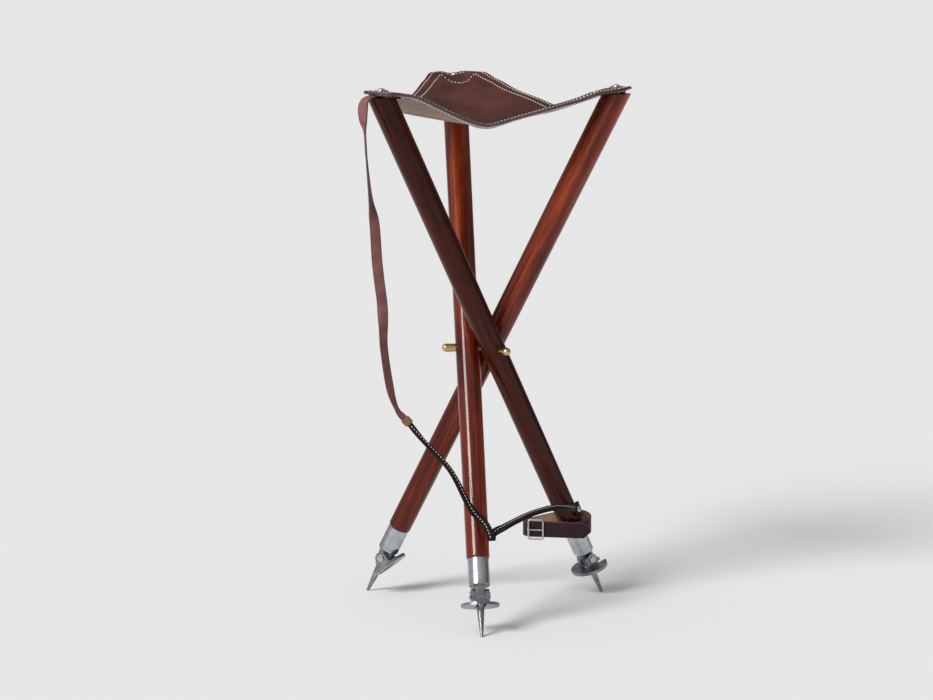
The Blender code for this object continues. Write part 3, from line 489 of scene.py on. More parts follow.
STEEL = metal("zinc_steel", (0.42, 0.43, 0.45), (0.62, 0.63, 0.64), 0.30, WHITE, 500.0, 0.12)
THREAD = thread()


# Making pieces


def placed(name, data):
    """A new object in the scene."""
    piece = bpy.data.objects.new(name, data)
    bpy.context.scene.collection.objects.link(piece)
    return piece


def mesh_of(bm, name):
    """A finished bmesh as a new mesh."""
    mesh = bpy.data.meshes.new(name)
    bm.to_mesh(mesh)
    bm.free()
    return mesh


def belongs(piece, body, slot, *nodes):
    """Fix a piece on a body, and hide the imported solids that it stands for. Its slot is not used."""
    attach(piece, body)
    if nodes:
        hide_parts(*nodes)


def mark_places(mesh, matrix):
    """Keep each vertex's place in a frame for the materials."""
    back = matrix.inverted()
    attribute = mesh.attributes.new("place", "FLOAT_VECTOR", "POINT")
    for vertex, place in zip(mesh.vertices, attribute.data):
        place.vector = back @ vertex.co


def new_piece(name, vertices, faces, materials, indices=None):
    mesh = bpy.data.meshes.new(name)
    mesh.from_pydata([tuple(point) for point in vertices], [], faces)
    for material in materials:
        mesh.materials.append(material)
    if indices is not None:
        mesh.polygons.foreach_set("material_index", np.array(indices, dtype=np.int32))
    mesh.shade_smooth()
    mesh.validate()
    mark_places(mesh, IDENTITY)
    return placed(name, mesh)


def apply_modifiers(piece):
    """Make a piece's modified shape its own mesh."""
    graph = bpy.context.evaluated_depsgraph_get()
    shaped = bpy.data.meshes.new_from_object(
        piece.evaluated_get(graph), preserve_all_data_layers=True, depsgraph=graph
    )
    piece.modifiers.clear()
    piece.data = shaped


def refined(node, materials, body, slot, matrix=IDENTITY, pick=None):
    """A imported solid's own shape with rounded edges and smooth shading, which stands for it."""
    width = next(size for start, size in ROUNDING.items() if node.startswith(start))
    bm = bmesh.new()
    bm.from_mesh(frame["nodes"][node].data)
    bmesh.ops.remove_doubles(bm, verts=bm.verts, dist=WELD)
    bmesh.ops.dissolve_limit(bm, angle_limit=FLAT_ANGLE, verts=bm.verts, edges=bm.edges)
    sharp = [edge for edge in bm.edges if edge.is_manifold and edge.calc_face_angle() > SMOOTH_ANGLE]
    bmesh.ops.bevel(
        bm, geom=sharp, offset=width, segments=2, profile=0.5, affect="EDGES", clamp_overlap=True
    )
    mesh = mesh_of(bm, f"{node}_dressed")
    mark_places(mesh, matrix)
    for material in materials:
        mesh.materials.append(material)
    if pick is not None:
        back = matrix.inverted()
        for polygon in mesh.polygons:
            polygon.material_index = pick(back @ polygon.center)
    mesh.shade_smooth()
    mesh.set_sharp_from_angle(angle=SMOOTH_ANGLE)
    piece = placed(f"{node}_dressed", mesh)
    weighted = piece.modifiers.new("weighted_normals", "WEIGHTED_NORMAL")
    weighted.keep_sharp = True
    apply_modifiers(piece)
    belongs(piece, body, slot, node)
    return piece


def face_outward(piece):
    """Turn a closed piece's faces to look out."""
    bm = bmesh.new()
    bm.from_mesh(piece.data)
    bmesh.ops.recalc_face_normals(bm, faces=bm.faces)
    bm.to_mesh(piece.data)
    bm.free()


def two_grids(rows, columns):
    """Faces of a grid of points, each followed by that of a like grid below."""
    faces = []
    for row in range(rows - 1):
        for at in range(row * columns, (row + 1) * columns - 1):
            square = [at, at + columns, at + columns + 1, at + 1]
            faces.append(square)
            faces.append([index + rows * columns for index in reversed(square)])
    return faces


def walls(line, below):
    """Faces between a line of a grid's points and the like line of the grid below."""
    return [[first, first + below, second + below, second] for first, second in zip(line, line[1:])]


def ring_points(centre, first, second, radius, sides):
    """Points of a circle, from one direction toward another."""
    angles = 2 * math.pi * np.arange(sides) / sides
    return [centre + (math.cos(angle) * first + math.sin(angle) * second) * radius for angle in angles]


def ring_faces(first, sides, rings):
    """Faces between rings of points that follow one another."""
    faces = []
    for here in range(first, first + (rings - 1) * sides, sides):
        for side in range(sides):
            after = (side + 1) % sides
            faces.append([here + side, here + after, here + sides + after, here + sides + side])
    return faces


# Lines and directions


def unit(vectors):
    """Vectors brought to a length of 1."""
    return vectors / np.linalg.norm(vectors, axis=-1, keepdims=True)


def eased(value, start, end):
    """0 before start and 1 after end, with a smooth way between them."""
    share = np.clip((value - start) / (end - start), 0.0, 1.0)
    return share * share * (3.0 - 2.0 * share)


def steps_of(points):
    """Lengths from each point of a line to the next one."""
    return np.linalg.norm(np.diff(points, axis=0), axis=1)


def distances(points):
    """How far along a line each of its points lies."""
    return np.concatenate([[0.0], np.cumsum(steps_of(points))])


def even_steps(length, pitch):
    """Places along a length at an even pitch, half a pitch from its ends."""
    count = int(length / pitch)
    return (np.arange(count) + 0.5) * length / count


def at_distance(wanted, lengths, values):
    """Values of a line's points, at wanted distances along it."""
    return np.stack([np.interp(wanted, lengths, column) for column in np.transpose(values)], axis=-1)


# Hide


def hide_shares(plan):
    """How far plan points belong to each leg's lobe, with the creases where the photograph has them."""
    plain = {name: 1.0 / 3.0 + 2.0 / 3.0 * (plan @ TOPS[name]) / REACH**2 for name in LEGS}
    shares = dict(plain)
    for opposite, (larger, shift) in CREASE_SHIFT.items():
        smaller = next(name for name in LEGS if name not in (opposite, larger))
        near_edge = np.clip(1.0 - 3.0 * plain[opposite], 0.0, 1.0) ** 2
        between = 4.0 * np.maximum(plain[larger], 0.0) * np.maximum(plain[smaller], 0.0)
        moved = shift * between * near_edge
        shares[larger] = shares[larger] + moved
        shares[smaller] = shares[smaller] - moved
    return shares


def seat_height(plan):
    """Height of the hide's upper face over plan points, which are measured from the bolt axis."""
    shares = hide_shares(plan)
    powers = sum(np.maximum(share, 0.0) ** SAG_CREASE for share in shares.values())
    nearest = powers ** (1.0 / SAG_CREASE)
    way = np.clip((1.0 - nearest - SAG_START) / (SAG_END - SAG_START), 0.0, 1.0)
    soft = np.sqrt(way**2 + SAG_SOFT**2) - SAG_SOFT
    fall = SAG_SLOPE * soft - SAG_BOTTOM * np.maximum(soft - SAG_BOTTOM_START, 0.0) ** 2
    height = SEAT_TOP - SEAT_SAG * fall
    left = np.maximum(shares["left"], 0.0)
    right = np.maximum(shares["right"], 0.0)
    along = (left - right) / np.maximum(left + right, LEAST_SHARE)
    near_front = np.clip(1.0 - 3.0 * shares["rear"], 0.0, 1.0) ** 2
    height = height - FRONT_HANG * eased(along, *HANG_LEFT) * eased(along, *HANG_RIGHT) * near_front
    for name in LEGS:
        share = shares[name]
        drop = eased(share, *DROP_START) * eased(share, *DROP_END)
        outward = TOPS[name] / REACH
        beyond = (plan - TOPS[name]) @ outward
        lift = np.clip((beyond - CURL_START) / (CORNER_OUT - CURL_START), 0.0, 1.0)
        beside = np.abs((plan - TOPS[name]) @ np.array((-outward[1], outward[0])))
        from_screw = np.hypot(beside, np.maximum(beyond, 0.0))
        dish = DISH[name] * eased(from_screw, *DISH_REACH) * eased(share, *DISH_FADE)
        height = height - CORNER_DROP[name] * drop + END_CURL[name] * lift**2 + dish
    return height


def seat_normal(plan):
    """Upward normal of the hide over plan points."""
    slopes = []
    for shift in SLOPE_STEP * np.eye(2):
        slopes.append((seat_height(plan + shift) - seat_height(plan - shift)) / (2 * SLOPE_STEP))
    return unit(np.stack([-slopes[0], -slopes[1], np.ones_like(slopes[0])], axis=-1))


def seat_points(plan):
    """Points of the hide's upper face over plan points."""
    return np.concatenate([plan + np.array(HUB_PLAN), seat_height(plan)[..., None]], axis=-1)


def crease_shade_mask(plan):
    """1 along a crease between two lobes of the hide, falling to 0 beside it; the mask of painted shade
    along the creases.
    """
    ordered = np.sort(np.stack(list(hide_shares(plan).values())), axis=0)
    return np.exp(-(((ordered[2] - ordered[1]) / CREASE_SHADE_WIDTH) ** 2))


def lobe_axes(name, other):
    """Plan directions at a leg's top: toward the seat's middle, and toward another leg's side."""
    inward = -TOPS[name] / REACH
    side = np.array((inward[1], -inward[0]))
    if (TOPS[other] - TOPS[name]) @ side < 0.0:
        side = -side
    return inward, side


def edge_way(name, other):
    """Plan direction out of the hide's edge between two legs."""
    return unit(TOPS[name] + TOPS[other])


def half_width(inward, margin=HIDE_MARGIN - EDGE_BULGE):
    """Half a corner's width so far inside a leg top, to a margin outside the leg tops' line."""
    return (margin + inward * math.sin(HALF_CORNER)) / math.cos(HALF_CORNER)


POINT_WIDTH = half_width(POINT_START, HIDE_MARGIN - INNER_ROW)


def lining_depth(plan, name, other):
    """How far plan points lie inside the lining along the hide's edge and across its corner."""
    inward, side = lobe_axes(name, other)
    along = (plan - TOPS[name]) @ inward
    across = (plan - TOPS[name]) @ side
    from_edge = (half_width(along) - across) * math.cos(HALF_CORNER)
    point = POINT_TIP + (POINT_START - POINT_TIP) * across / POINT_WIDTH
    return LINING_WIDTH - from_edge, point + LINING_WIDTH - INNER_ROW - along


def panel_plan(name, other):
    """Plan points of a half lobe: rows from the hide's end to the crease, from middle to edge."""
    inward, side = lobe_axes(name, other)
    end = -(CORNER_OUT - EDGE_BULGE)
    across = np.linspace(0.0, 1.0, PANEL_ROWS + 1) ** ROW_CROWDING
    flat_end = half_width(end)
    past = np.maximum(across * flat_end - (flat_end - CORNER_ROUND), 0.0)
    start = end + CORNER_ROUND - np.sqrt(np.maximum(CORNER_ROUND**2 - past**2, 0.0))
    rows = []
    for share in np.linspace(0.0, 1.0, TAB_STEPS, endpoint=False):
        along = start + share * (CORNER_IN - start)
        rows.append(TOPS[name] + np.outer(along, inward) + np.outer(across * half_width(along), side))
    near = TOPS[name] + CORNER_IN * inward + np.outer(across * half_width(CORNER_IN), side)
    far = np.outer(across, edge_way(name, other) * (REACH / 2 + HIDE_MARGIN - EDGE_BULGE))
    for share in np.linspace(0.0, 1.0, GORE_STEPS + 1):
        rows.append(near + share * (far - near))
    return np.array(rows)


def outline_outward(loop, inside):
    """Level directions out of an outline, at each of its plan points."""
    tangent = np.gradient(loop, axis=0)
    out = unit(np.stack([tangent[:, 1], -tangent[:, 0]], axis=-1))
    return out if np.sum((loop - inside) * out) >= 0.0 else -out


def hide_panel(name, other):
    """Half of the hide's lobe at one leg: leather above, suede below, and a rounded edge."""
    plan = panel_plan(name, other)
    rows, columns = plan.shape[:2]
    count = rows * columns
    normal = seat_normal(plan)
    top = seat_points(plan)
    low = top - normal * HIDE_THICKNESS
    faces = two_grids(rows, columns)
    kinds = [ABOVE, BELOW] * (len(faces) // 2)
    loop = [(0, column) for column in range(columns)] + [(row, columns - 1) for row in range(1, rows)]
    out = outline_outward(np.array([plan[spot] for spot in loop]), plan[rows // 2, 0])
    out[0] = -lobe_axes(name, other)[0]
    out[-1] = edge_way(name, other)
    vertices = [*top.reshape(-1, 3), *low.reshape(-1, 3)]
    normals = [*normal.reshape(-1, 3), *-normal.reshape(-1, 3)]
    rings = []
    for spot, way in zip(loop, out):
        first = spot[0] * columns + spot[1]
        new = range(len(vertices), len(vertices) + EDGE_STEPS - 1)
        rings.append([first, *new, first + count])
        centre = top[spot] - normal[spot] * HIDE_THICKNESS / 2
        for step in range(1, EDGE_STEPS):
            angle = math.pi / 2 - math.pi * step / EDGE_STEPS
            rise = normal[spot] * math.sin(angle)
            reach = np.array((*way, 0.0)) * math.cos(angle)
            vertices.append(centre + rise * HIDE_THICKNESS / 2 + reach * EDGE_BULGE)
            normals.append(rise + reach)
    for first, second in zip(rings, rings[1:]):
        for step in range(EDGE_STEPS):
            faces.append([first[step], second[step], second[step + 1], first[step + 1]])
            kinds.append(RIM)
    cuts = [rings[0], list(reversed(rings[-1]))]
    cuts += walls(list(range(0, count, columns)), count)
    cuts += walls(list(range(count - columns, count)), count)
    faces += cuts
    kinds += [CUT] * len(cuts)
    looks = [min(kind, RIM) for kind in kinds]
    panel = new_piece(f"seat_hide_{name}_{other}", vertices, faces, (HIDE, SUEDE, EDGE), looks)
    face_outward(panel)
    shade_panel(panel, unit(np.array(normals)), kinds)
    points = np.array([vertex.co[:2] for vertex in panel.data.vertices]) - np.array(HUB_PLAN)
    # The crease mark is the mask of painted shade; the lining marks are the lining's own colour.
    marks = (crease_shade_mask(points), *lining_depth(points, name, other))
    for label, values in zip(("crease_shade", "edge_lining", "corner_lining"), marks):
        attribute = panel.data.attributes.new(label, "FLOAT", "POINT")
        attribute.data.foreach_set("value", values.astype(np.float32))
    return panel


def shade_panel(panel, normals, kinds):
    """Normals of the whole hide, so that the lines between its panels don't show."""
    loops = []
    for polygon, kind in zip(panel.data.polygons, kinds):
        for vertex in polygon.vertices:
            loops.append(tuple(polygon.normal if kind == CUT else normals[vertex]))
    panel.data.normals_split_custom_set(loops)


def bend_with_leg(piece, name, other):
    """Bake a hide piece's place into its mesh. The start and end of a bend between its leg and its panel
    are worked out, but the piece is not bent.
    """
    inward, side = lobe_axes(name, other)
    way = BEND_INWARD * inward + math.sqrt(1.0 - BEND_INWARD**2) * side
    height = SEAT_TOP - HIDE_THICKNESS / 2
    start, end = ((*(TOPS[name] + reach * way + np.array(HUB_PLAN)), height) for reach in BEND)
    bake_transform(piece)
    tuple(start)
    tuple(end)


def stitch_piece(name, stitches, radius):
    """Short bowed lengths of thread, from (centre, along, outward), whose ends go into the leather."""
    vertices = []
    faces = []
    for centre, along, outward in stitches:
        across = np.cross(outward, along)
        first = len(vertices)
        for way, size, lift in STITCH_SHAPE:
            spot = centre + along * way * STITCH_LENGTH / 2 + outward * lift * radius
            vertices += ring_points(spot, across, outward, size * radius, STITCH_SIDES)
        faces += ring_faces(first, STITCH_SIDES, len(STITCH_SHAPE))
        faces.append(list(reversed(range(first, first + STITCH_SIDES))))
        faces.append(list(range(len(vertices) - STITCH_SIDES, len(vertices))))
    return new_piece(name, vertices, faces, (THREAD,))


def stitch_rows(name, other):
    """Plan lines of a half lobe's stitching: outer row, inner row, and the point across the corner."""
    inward, side = lobe_axes(name, other)
    top = TOPS[name]
    half = np.linalg.norm(TOPS[other] - top) / 2
    ahead = unit(TOPS[other] - top)
    out = edge_way(name, other)

    def beside(along, row):
        return top + ahead * along + out * (HIDE_MARGIN - row)

    end = CORNER_OUT - OUTER_ROW
    bend = CORNER_ROUND - OUTER_ROW
    reach = half_width(-CORNER_OUT) - OUTER_ROW
    outer = [top - end * inward]
    for angle in np.linspace(0.0, 2 * HALF_CORNER, CORNER_STEPS + 1):
        back = end - bend + bend * math.cos(angle)
        outer.append(top - back * inward + (reach - bend + bend * math.sin(angle)) * side)
    start = (outer[-1] - top) @ ahead
    outer += [beside(start + OUTER_ROW, OUTER_ROW), beside(half, OUTER_ROW)]
    turn = top + POINT_START * inward + POINT_WIDTH * side
    return outer, [turn, beside(half, INNER_ROW)], [top + POINT_TIP * inward, turn]


def hide_stitches(name, other):
    """White thread through the hide: stitches on both faces of a half lobe."""
    stitches = []
    for row in stitch_rows(name, other):
        lengths = distances(row)
        wanted = even_steps(lengths[-1], STITCH_PITCH)
        places = at_distance(wanted, lengths, row)
        ways = unit(at_distance(wanted + STITCH_PITCH / 10, lengths, row) - places)
        before = seat_points(places - ways * STITCH_LENGTH / 2)
        after = seat_points(places + ways * STITCH_LENGTH / 2)
        centres = (before + after) / 2
        for centre, along, normal in zip(centres, unit(after - before), seat_normal(places)):
            outward = unit(normal - along * (normal @ along))
            stitches.append((centre, along, outward))
            stitches.append((centre - outward * HIDE_THICKNESS, along, -outward))
    return stitch_piece(f"seat_stitches_{name}_{other}", stitches, STITCH_RADIUS)


def formed_patch(name):
    """Leather patch between a leg's top and the hide, which bends over the leg's inner rim with it."""
    inward, side = lobe_axes(name, LEGS[LEGS.index(name) - 1])
    rows = []
    for place in np.linspace(-PATCH_OUT, PATCH_IN, PATCH_STEPS + 1):
        past = max(PATCH_ROUND - min(place + PATCH_OUT, PATCH_IN - place), 0.0)
        half = PATCH_HALF_WIDTH - PATCH_ROUND + math.sqrt(PATCH_ROUND**2 - past**2)
        across = np.linspace(-half, half, PATCH_STEPS + 1)
        rows.append(TOPS[name] + place * inward + np.outer(across, side))
    plan = np.array(rows)
    normal = seat_normal(plan)
    top = seat_points(plan) - normal * (HIDE_THICKNESS + CLEAR)
    low = top - normal * PATCH_THICKNESS
    width = PATCH_STEPS + 1
    count = width * width
    rim = list(range(width)) + list(range(2 * width - 1, count, width))
    rim += list(range(count - 2, count - width - 1, -1)) + list(range(count - 2 * width, -1, -width))
    faces = two_grids(width, width) + walls(rim, count)
    vertices = [*top.reshape(-1, 3), *low.reshape(-1, 3)]
    patch = new_piece(f"seat_patch_{name}_formed", vertices, faces, (PATCH,))
    face_outward(patch)
    patch.data.set_sharp_from_angle(angle=STRAP_ANGLE)
    belongs(patch, f"leg_{name}", "patch", f"seat_patch_{name}")


def trim_leg_top(piece, name):
    """Round a leg's top away under the patch, where the hide bends down over its inner rim."""
    axis = LEG_AXES[name]
    for vertex in piece.data.vertices:
        if vertex.co.z < LEG_TOP_Z - LEG_RIM:
            continue
        plan = np.array([vertex.co.xy - HUB_PLAN])
        room = float(seat_height(plan)[0]) - HIDE_THICKNESS - PATCH_THICKNESS - 2 * CLEAR - vertex.co.z
        if room < 0.0:
            vertex.co += axis * (room / axis.z)


def flat_size(name, other):
    """Flat width and length of a half lobe, and its area."""
    points = seat_points(panel_plan(name, other))
    across = np.cross(points[1:, :-1] - points[:-1, :-1], points[:-1, 1:] - points[:-1, :-1])
    inward, side = lobe_axes(name, other)
    flat = tuple(float(np.ptp(points[..., :2] @ way)) for way in (side, inward))
    return flat, min(float(np.linalg.norm(across, axis=-1).sum()), flat[0] * flat[1])


def make_hide():
    for name in LEGS:
        for other in LEGS:
            if other == name:
                continue
            panel = hide_panel(name, other)
            stitches = hide_stitches(name, other)
            for piece in (panel, stitches):
                bend_with_leg(piece, name, other)
            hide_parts(f"seat_gore_{name}_{other}", f"seat_corner_{name}")
            flat, area = flat_size(name, other)


# Straps


def smooth_route(points, spacing):
    """Even points on a smooth curve through a route's points (Catmull-Rom)."""
    points = [np.array(point, float) for point in points]
    ends = [2 * points[0] - points[1]] + points + [2 * points[-1] - points[-2]]
    fine = []
    for a, b, c, d in zip(ends, ends[1:], ends[2:], ends[3:]):
        for t in np.linspace(0.0, 1.0, ROUTE_FINE, endpoint=False):
            bend = (c - a) * t + (2 * a - 5 * b + 4 * c - d) * t**2 + (3 * b - a - 3 * c + d) * t**3
            fine.append(b + bend / 2)
    fine = np.array(fine + [points[-1]])
    lengths = distances(fine[:, :3])
    count = max(2, round(lengths[-1] / spacing))
    return at_distance(np.linspace(0.0, lengths[-1], count + 1), lengths, fine)


def route_frames(route):
    """Directions along, across and out of a strap's face at each point of its route."""
    along = unit(np.gradient(route[:, :3], axis=0))
    across = unit(np.cross(route[:, 3:6], along))
    return along, across, np.cross(along, across)


def route_length(route):
    return float(steps_of(route[:, :3]).sum())


def strap_section(width, thickness, seam):
    """Closed outline of a strap's section, as (across, out, kind): rounded edges, and any seam."""
    deep = thickness / 2
    bend = STRAP_ROUND * deep
    section = []
    for corner, (x, y) in enumerate(((1, 1), (-1, 1), (-1, -1), (1, -1))):
        for step in range(STRAP_BEND_STEPS + 1):
            angle = math.pi / 2 * (corner + step / STRAP_BEND_STEPS)
            across = x * (width / 2 - bend) + bend * math.cos(angle)
            kind = RIM if step < STRAP_BEND_STEPS else (ABOVE, RIM, BELOW, RIM)[corner]
            section.append((across, y * (deep - bend) + bend * math.sin(angle), kind))
        if corner in (1, 3) and seam > 0.0:
            section.append((x * (width / 2 - seam), 0.0, RIM))
    return section


def strap_piece(name, route, width, thickness, looks, widen, seam=0.0):
    """A strap swept along its route, in looks for its outer face, inner face and edges."""
    section = strap_section(width, thickness, seam)
    _, across, out = route_frames(route)
    count = len(section)
    last = len(route) - 1
    vertices = []
    for place in range(last + 1):
        factor = widen(place / last)
        for x, y, _ in section:
            vertices.append(route[place, :3] + across[place] * x * factor + out[place] * y)
    faces = ring_faces(0, count, last + 1)
    faces += [list(reversed(range(count))), list(range(last * count, (last + 1) * count))]
    kinds = [kind for _, _, kind in section] * last + [RIM, RIM]
    piece = new_piece(name, vertices, faces, looks, kinds)
    face_outward(piece)
    piece.data.set_sharp_from_angle(angle=STRAP_ANGLE)
    return piece


def route_stitches(name, route, look_in):
    """A row of stitches along the lower strap, on its outer face (1) or its inner face (-1)."""
    along, across, out = route_frames(route)
    lengths = distances(route[:, :3])
    stitches = []
    for wanted in even_steps(lengths[-1], STITCH_PITCH):
        place = min(int(np.searchsorted(lengths, wanted)), len(route) - 1)
        outward = out[place] * look_in
        centre = at_distance(wanted, lengths, route[:, :3]) + across[place] * STITCH_ASIDE
        stitches.append((centre + outward * LOWER_SLING_THICKNESS / 2, along[place], outward))
    return stitch_piece(name, stitches, STRAP_STITCH_RADIUS)


def facing(azimuth, tilt=0.0):
    """A face's direction, from its azimuth and its tilt above the level, in degrees."""
    level = math.cos(math.radians(tilt))
    turn = math.radians(azimuth)
    return (level * math.cos(turn), level * math.sin(turn), math.sin(math.radians(tilt)))


def hung(x, y, drop, azimuth, tilt=0.0):
    """A route point of the sling, from the left leg's top, and the way that its face looks there."""
    return (*(leg_axis_at("left", LEG_TOP_Z) + Vector((x, y, -drop))), *facing(azimuth, tilt))


def passing(leg, x, y, height, azimuth, tilt=0.0):
    """The same, from a leg's axis at a height."""
    return (*(leg_axis_at(leg, height) + Vector((x, y, 0.0))), *facing(azimuth, tilt))


def upper_sling_route():
    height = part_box("sling_upper")[1].z - SLING_THICKNESS / 2

    def lying(reach, tilt):
        plan = leg_axis_at("left", LEG_TOP_Z).xy + Vector(TOPS["left"] / REACH) * reach
        return (*Vector((*plan, height)), *facing(SLING_AZIMUTH, tilt))

    points = [
        lying(PATCH_OUT + CLEAR, 90.0),
        lying(SLING_OVER, 85.0),
        hung(-0.0225, -0.0138, 0.0030, 222.0, 40.0),
        hung(-0.0252, -0.0155, 0.0140, 240.0),
        hung(-0.0248, -0.0160, 0.0290, 215.0),
        hung(-0.0228, -0.0163, 0.0450, 180.0),
        hung(-0.0206, -0.0165, 0.0790, 176.0),
        hung(-0.0156, -0.0165, 0.1310, 160.0),
        hung(-0.0106, -0.0155, 0.1640, 112.0),
        hung(-0.0072, -0.0150, 0.2150, 98.0),
        hung(-0.0018, -0.0150, 0.2600, 104.0),
        hung(-0.0008, -0.0140, 0.2700, 72.0),
        hung(0.0004, -0.0135, 0.2960, 120.0),
        hung(0.0014, -0.0135, 0.3280, 136.0),
        hung(0.0094, -0.0135, 0.3810, 136.0),
        hung(0.0184, -0.0145, 0.4080, 150.0),
        hung(0.0274, -0.0155, 0.4190, 100.0),
    ]
    return smooth_route(points, SLING_STEP)


def sling_end(turn, rise):
    """A route point of the sling's lower end where it lies on the left leg, from its screw."""
    angle = math.radians(SLING_SCREW_ANGLE + turn)
    way = LEG_MATRICES["left"].to_3x3() @ Vector((math.cos(angle), math.sin(angle), 0.0))
    out = LEG_FOOT_RADIUS + SLING_SEAT + LOWER_SLING_THICKNESS / 2
    return (*(leg_axis_at("left", SLING_SCREW_HEIGHT + rise) + way * out), *way)


def lower_sling_route(upper):
    way = unit(upper[-1, :3] - upper[-2, :3])
    start = upper[-1, :3] + way * (KEEPER_LENGTH - KEEPER_TUCK)
    points = [
        (*start, *facing(KEEPER_AZIMUTH)),
        passing("rear", -0.0719, -0.0741, 0.2520, 158.0),
        passing("rear", -0.0369, -0.0606, 0.2130, 156.0),
        passing("rear", -0.0109, -0.0440, 0.1640, 138.0),
        passing("rear", 0.0075, -0.0355, 0.1430, 108.0),
        passing("rear", 0.0150, -0.0332, 0.1275, 92.0),
        passing("rear", 0.0166, -0.0300, 0.1225, 92.0, 88.0),
        passing("rear", 0.0182, -0.0268, 0.1285, 272.0, 10.0),
        passing("rear", 0.0255, -0.0250, 0.1325, 280.0, 40.0),
        passing("rear", 0.0340, -0.0205, 0.1350, 288.0, 68.0),
        passing("rear", 0.0511, -0.0080, 0.1400, 305.0, 80.0),
        passing("rear", 0.0801, 0.0335, 0.1420, 320.0, 80.0),
        passing("left", -0.0187, -0.0761, 0.1410, 325.0, 68.0),
        passing("left", 0.0016, -0.0462, 0.1350, 328.0, 30.0),
        *(sling_end(*spot) for spot in SLING_TAB),
    ]
    return smooth_route(points, LOWER_SLING_STEP)


def narrow_keeper(keeper):
    """Draw the keeper's sides in, to the gathered end of the upper strap."""
    way = Vector(route_frames(upper_sling_route())[1][-1])
    centre = middle("sling_keeper")
    for vertex in keeper.data.vertices:
        vertex.co -= way * (vertex.co - centre).dot(way) * KEEPER_GATHER


def make_sling():
    upper = upper_sling_route()

    def gathered(share):
        return 1.0 - KEEPER_GATHER * eased(share, *GATHER_FADE)

    strap = strap_piece(
        "sling_upper_strap", upper, SLING_WIDTH, SLING_THICKNESS, (STRAP, STRAP, EDGE), gathered
    )
    belongs(strap, "leg_left", "strap", "sling_upper")
    route_length(upper)
    lower = lower_sling_route(upper)
    length = route_length(lower)

    def widened(share):
        tab = eased(TAB_LENGTH - (1.0 - share) * length, 0.0, TAB_FLARE * TAB_LENGTH)
        return 1.0 - LOWER_GATHER * (1.0 - eased(share, 0.0, LOWER_FADE)) + TAB_WIDEN * tab

    looks = (DARK_STRAP_AND_HOLE_SHADE, DARK_STRAP_AND_HOLE_SHADE, DARK_STRAP_AND_HOLE_SHADE)
    doubled = strap_piece(
        "sling_lower_strap", lower, LOWER_SLING_WIDTH, LOWER_SLING_THICKNESS, looks, widened, SEAM
    )
    belongs(doubled, "leg_left", "strap", "sling_lower")
    for label, look_in in (("front", -1.0), ("back", 1.0)):
        row = route_stitches(f"sling_stitches_{label}", lower[:-TAB_STATIONS], look_in)
        belongs(row, "leg_left", "strap")


# Belt


def belt_route():
    """From the buckle round the leg and the loop's far end, and over the first layer to the tail."""
    slope = math.asin((BELT_LEG_RADIUS - BELT_FAR_RADIUS) / BELT_LOOP_LENGTH)
    lap = BELT_THICKNESS + BELT_LAP
    leg_bend = np.array((-BELT_SET, 0.0))
    far_bend = leg_bend + (BELT_LOOP_LENGTH, 0.0)
    front = math.pi / 2 - slope
    points = []

    def way(angle):
        return np.array((math.cos(angle), math.sin(angle)))

    def add(point, angle, rise=0.0):
        points.append((*point, rise, *way(angle), 0.0))

    def around(centre, start, end, first, last, steps, rise=0.0):
        for share in np.linspace(0.0, 1.0, steps):
            angle = start + share * (end - start)
            radius = first + share * (last - first)
            add(centre + radius * way(angle), angle, rise * eased(share, 0.0, 1.0))

    inner = leg_bend + BELT_LEG_RADIUS * way(front)
    for share in (1.0, 0.66, 0.33):
        add(inner + way(-slope) * share * BUCKLE_NEAR, front)
    back = 2 * math.pi - front
    around(leg_bend, front, back, BELT_LEG_RADIUS, BELT_LEG_RADIUS, BELT_LEG_STEPS, BELT_RISE)
    around(far_bend, -front, front, BELT_FAR_RADIUS, BELT_FAR_RADIUS + lap, BELT_FAR_STEPS)
    outer = leg_bend + (BELT_LEG_RADIUS + lap) * way(front)
    for share in (0.6, 0.3, 0.0):
        add(outer + way(-slope) * share * BELT_LOOP_LENGTH, front)
    for share in (0.5, 1.0):
        add(outer - way(-slope) * share * BELT_TAIL, front)
    local = smooth_route(points, BELT_STEP)
    place = Matrix.Translation(leg_axis_at("left", BELT_HEIGHT))
    place = place @ Matrix.Rotation(math.radians(BELT_AZIMUTH), 4, "Z")
    turn = np.array(place.to_3x3())
    shift = np.array(place.translation)
    return np.concatenate([local[:, :3] @ turn.T + shift, local[:, 3:6] @ turn.T], axis=1)


def belt_holes(route):
    """Punched holes in the belt's outer run: a pressed rim round a flat dark disc of painted shade that
    stands for the hole.
    """
    along, across, out = route_frames(route)
    step = round(HOLE_SPACING / BELT_STEP)
    vertices = []
    faces = []
    kinds = []
    for hole in range(HOLE_COUNT):
        place = len(route) - 1 - step * (hole + HOLE_START)
        centre = route[place, :3] + out[place] * BELT_THICKNESS / 2
        first = len(vertices)
        for share, height in HOLE_RIM:
            raised = centre + out[place] * height
            vertices += ring_points(raised, along[place], across[place], share * HOLE_RADIUS, HOLE_SIDES)
        rim = ring_faces(first, HOLE_SIDES, len(HOLE_RIM))
        # The flat middle disc in near-black leather is painted shade standing for the hole's depth.
        faces += rim + [list(range(len(vertices) - HOLE_SIDES, len(vertices)))]
        kinds += [0] * len(rim) + [1]
    return new_piece("belt_holes", vertices, faces, (BELT, DARK_STRAP_AND_HOLE_SHADE), kinds)


def make_belt():
    route = belt_route()
    length = route_length(route)

    def pointed(share):
        return min(1.0, BELT_BLUNT + (1.0 - share) * length / BELT_POINT)

    belt = strap_piece("belt_band", route, BELT_WIDTH, BELT_THICKNESS, (BELT, FLESH, EDGE), pointed)
    belongs(belt, "leg_left", "belt", "binding_belt")
    holes = belt_holes(route)
    belongs(holes, "leg_left", "belt")


# Legs, metal and small leather


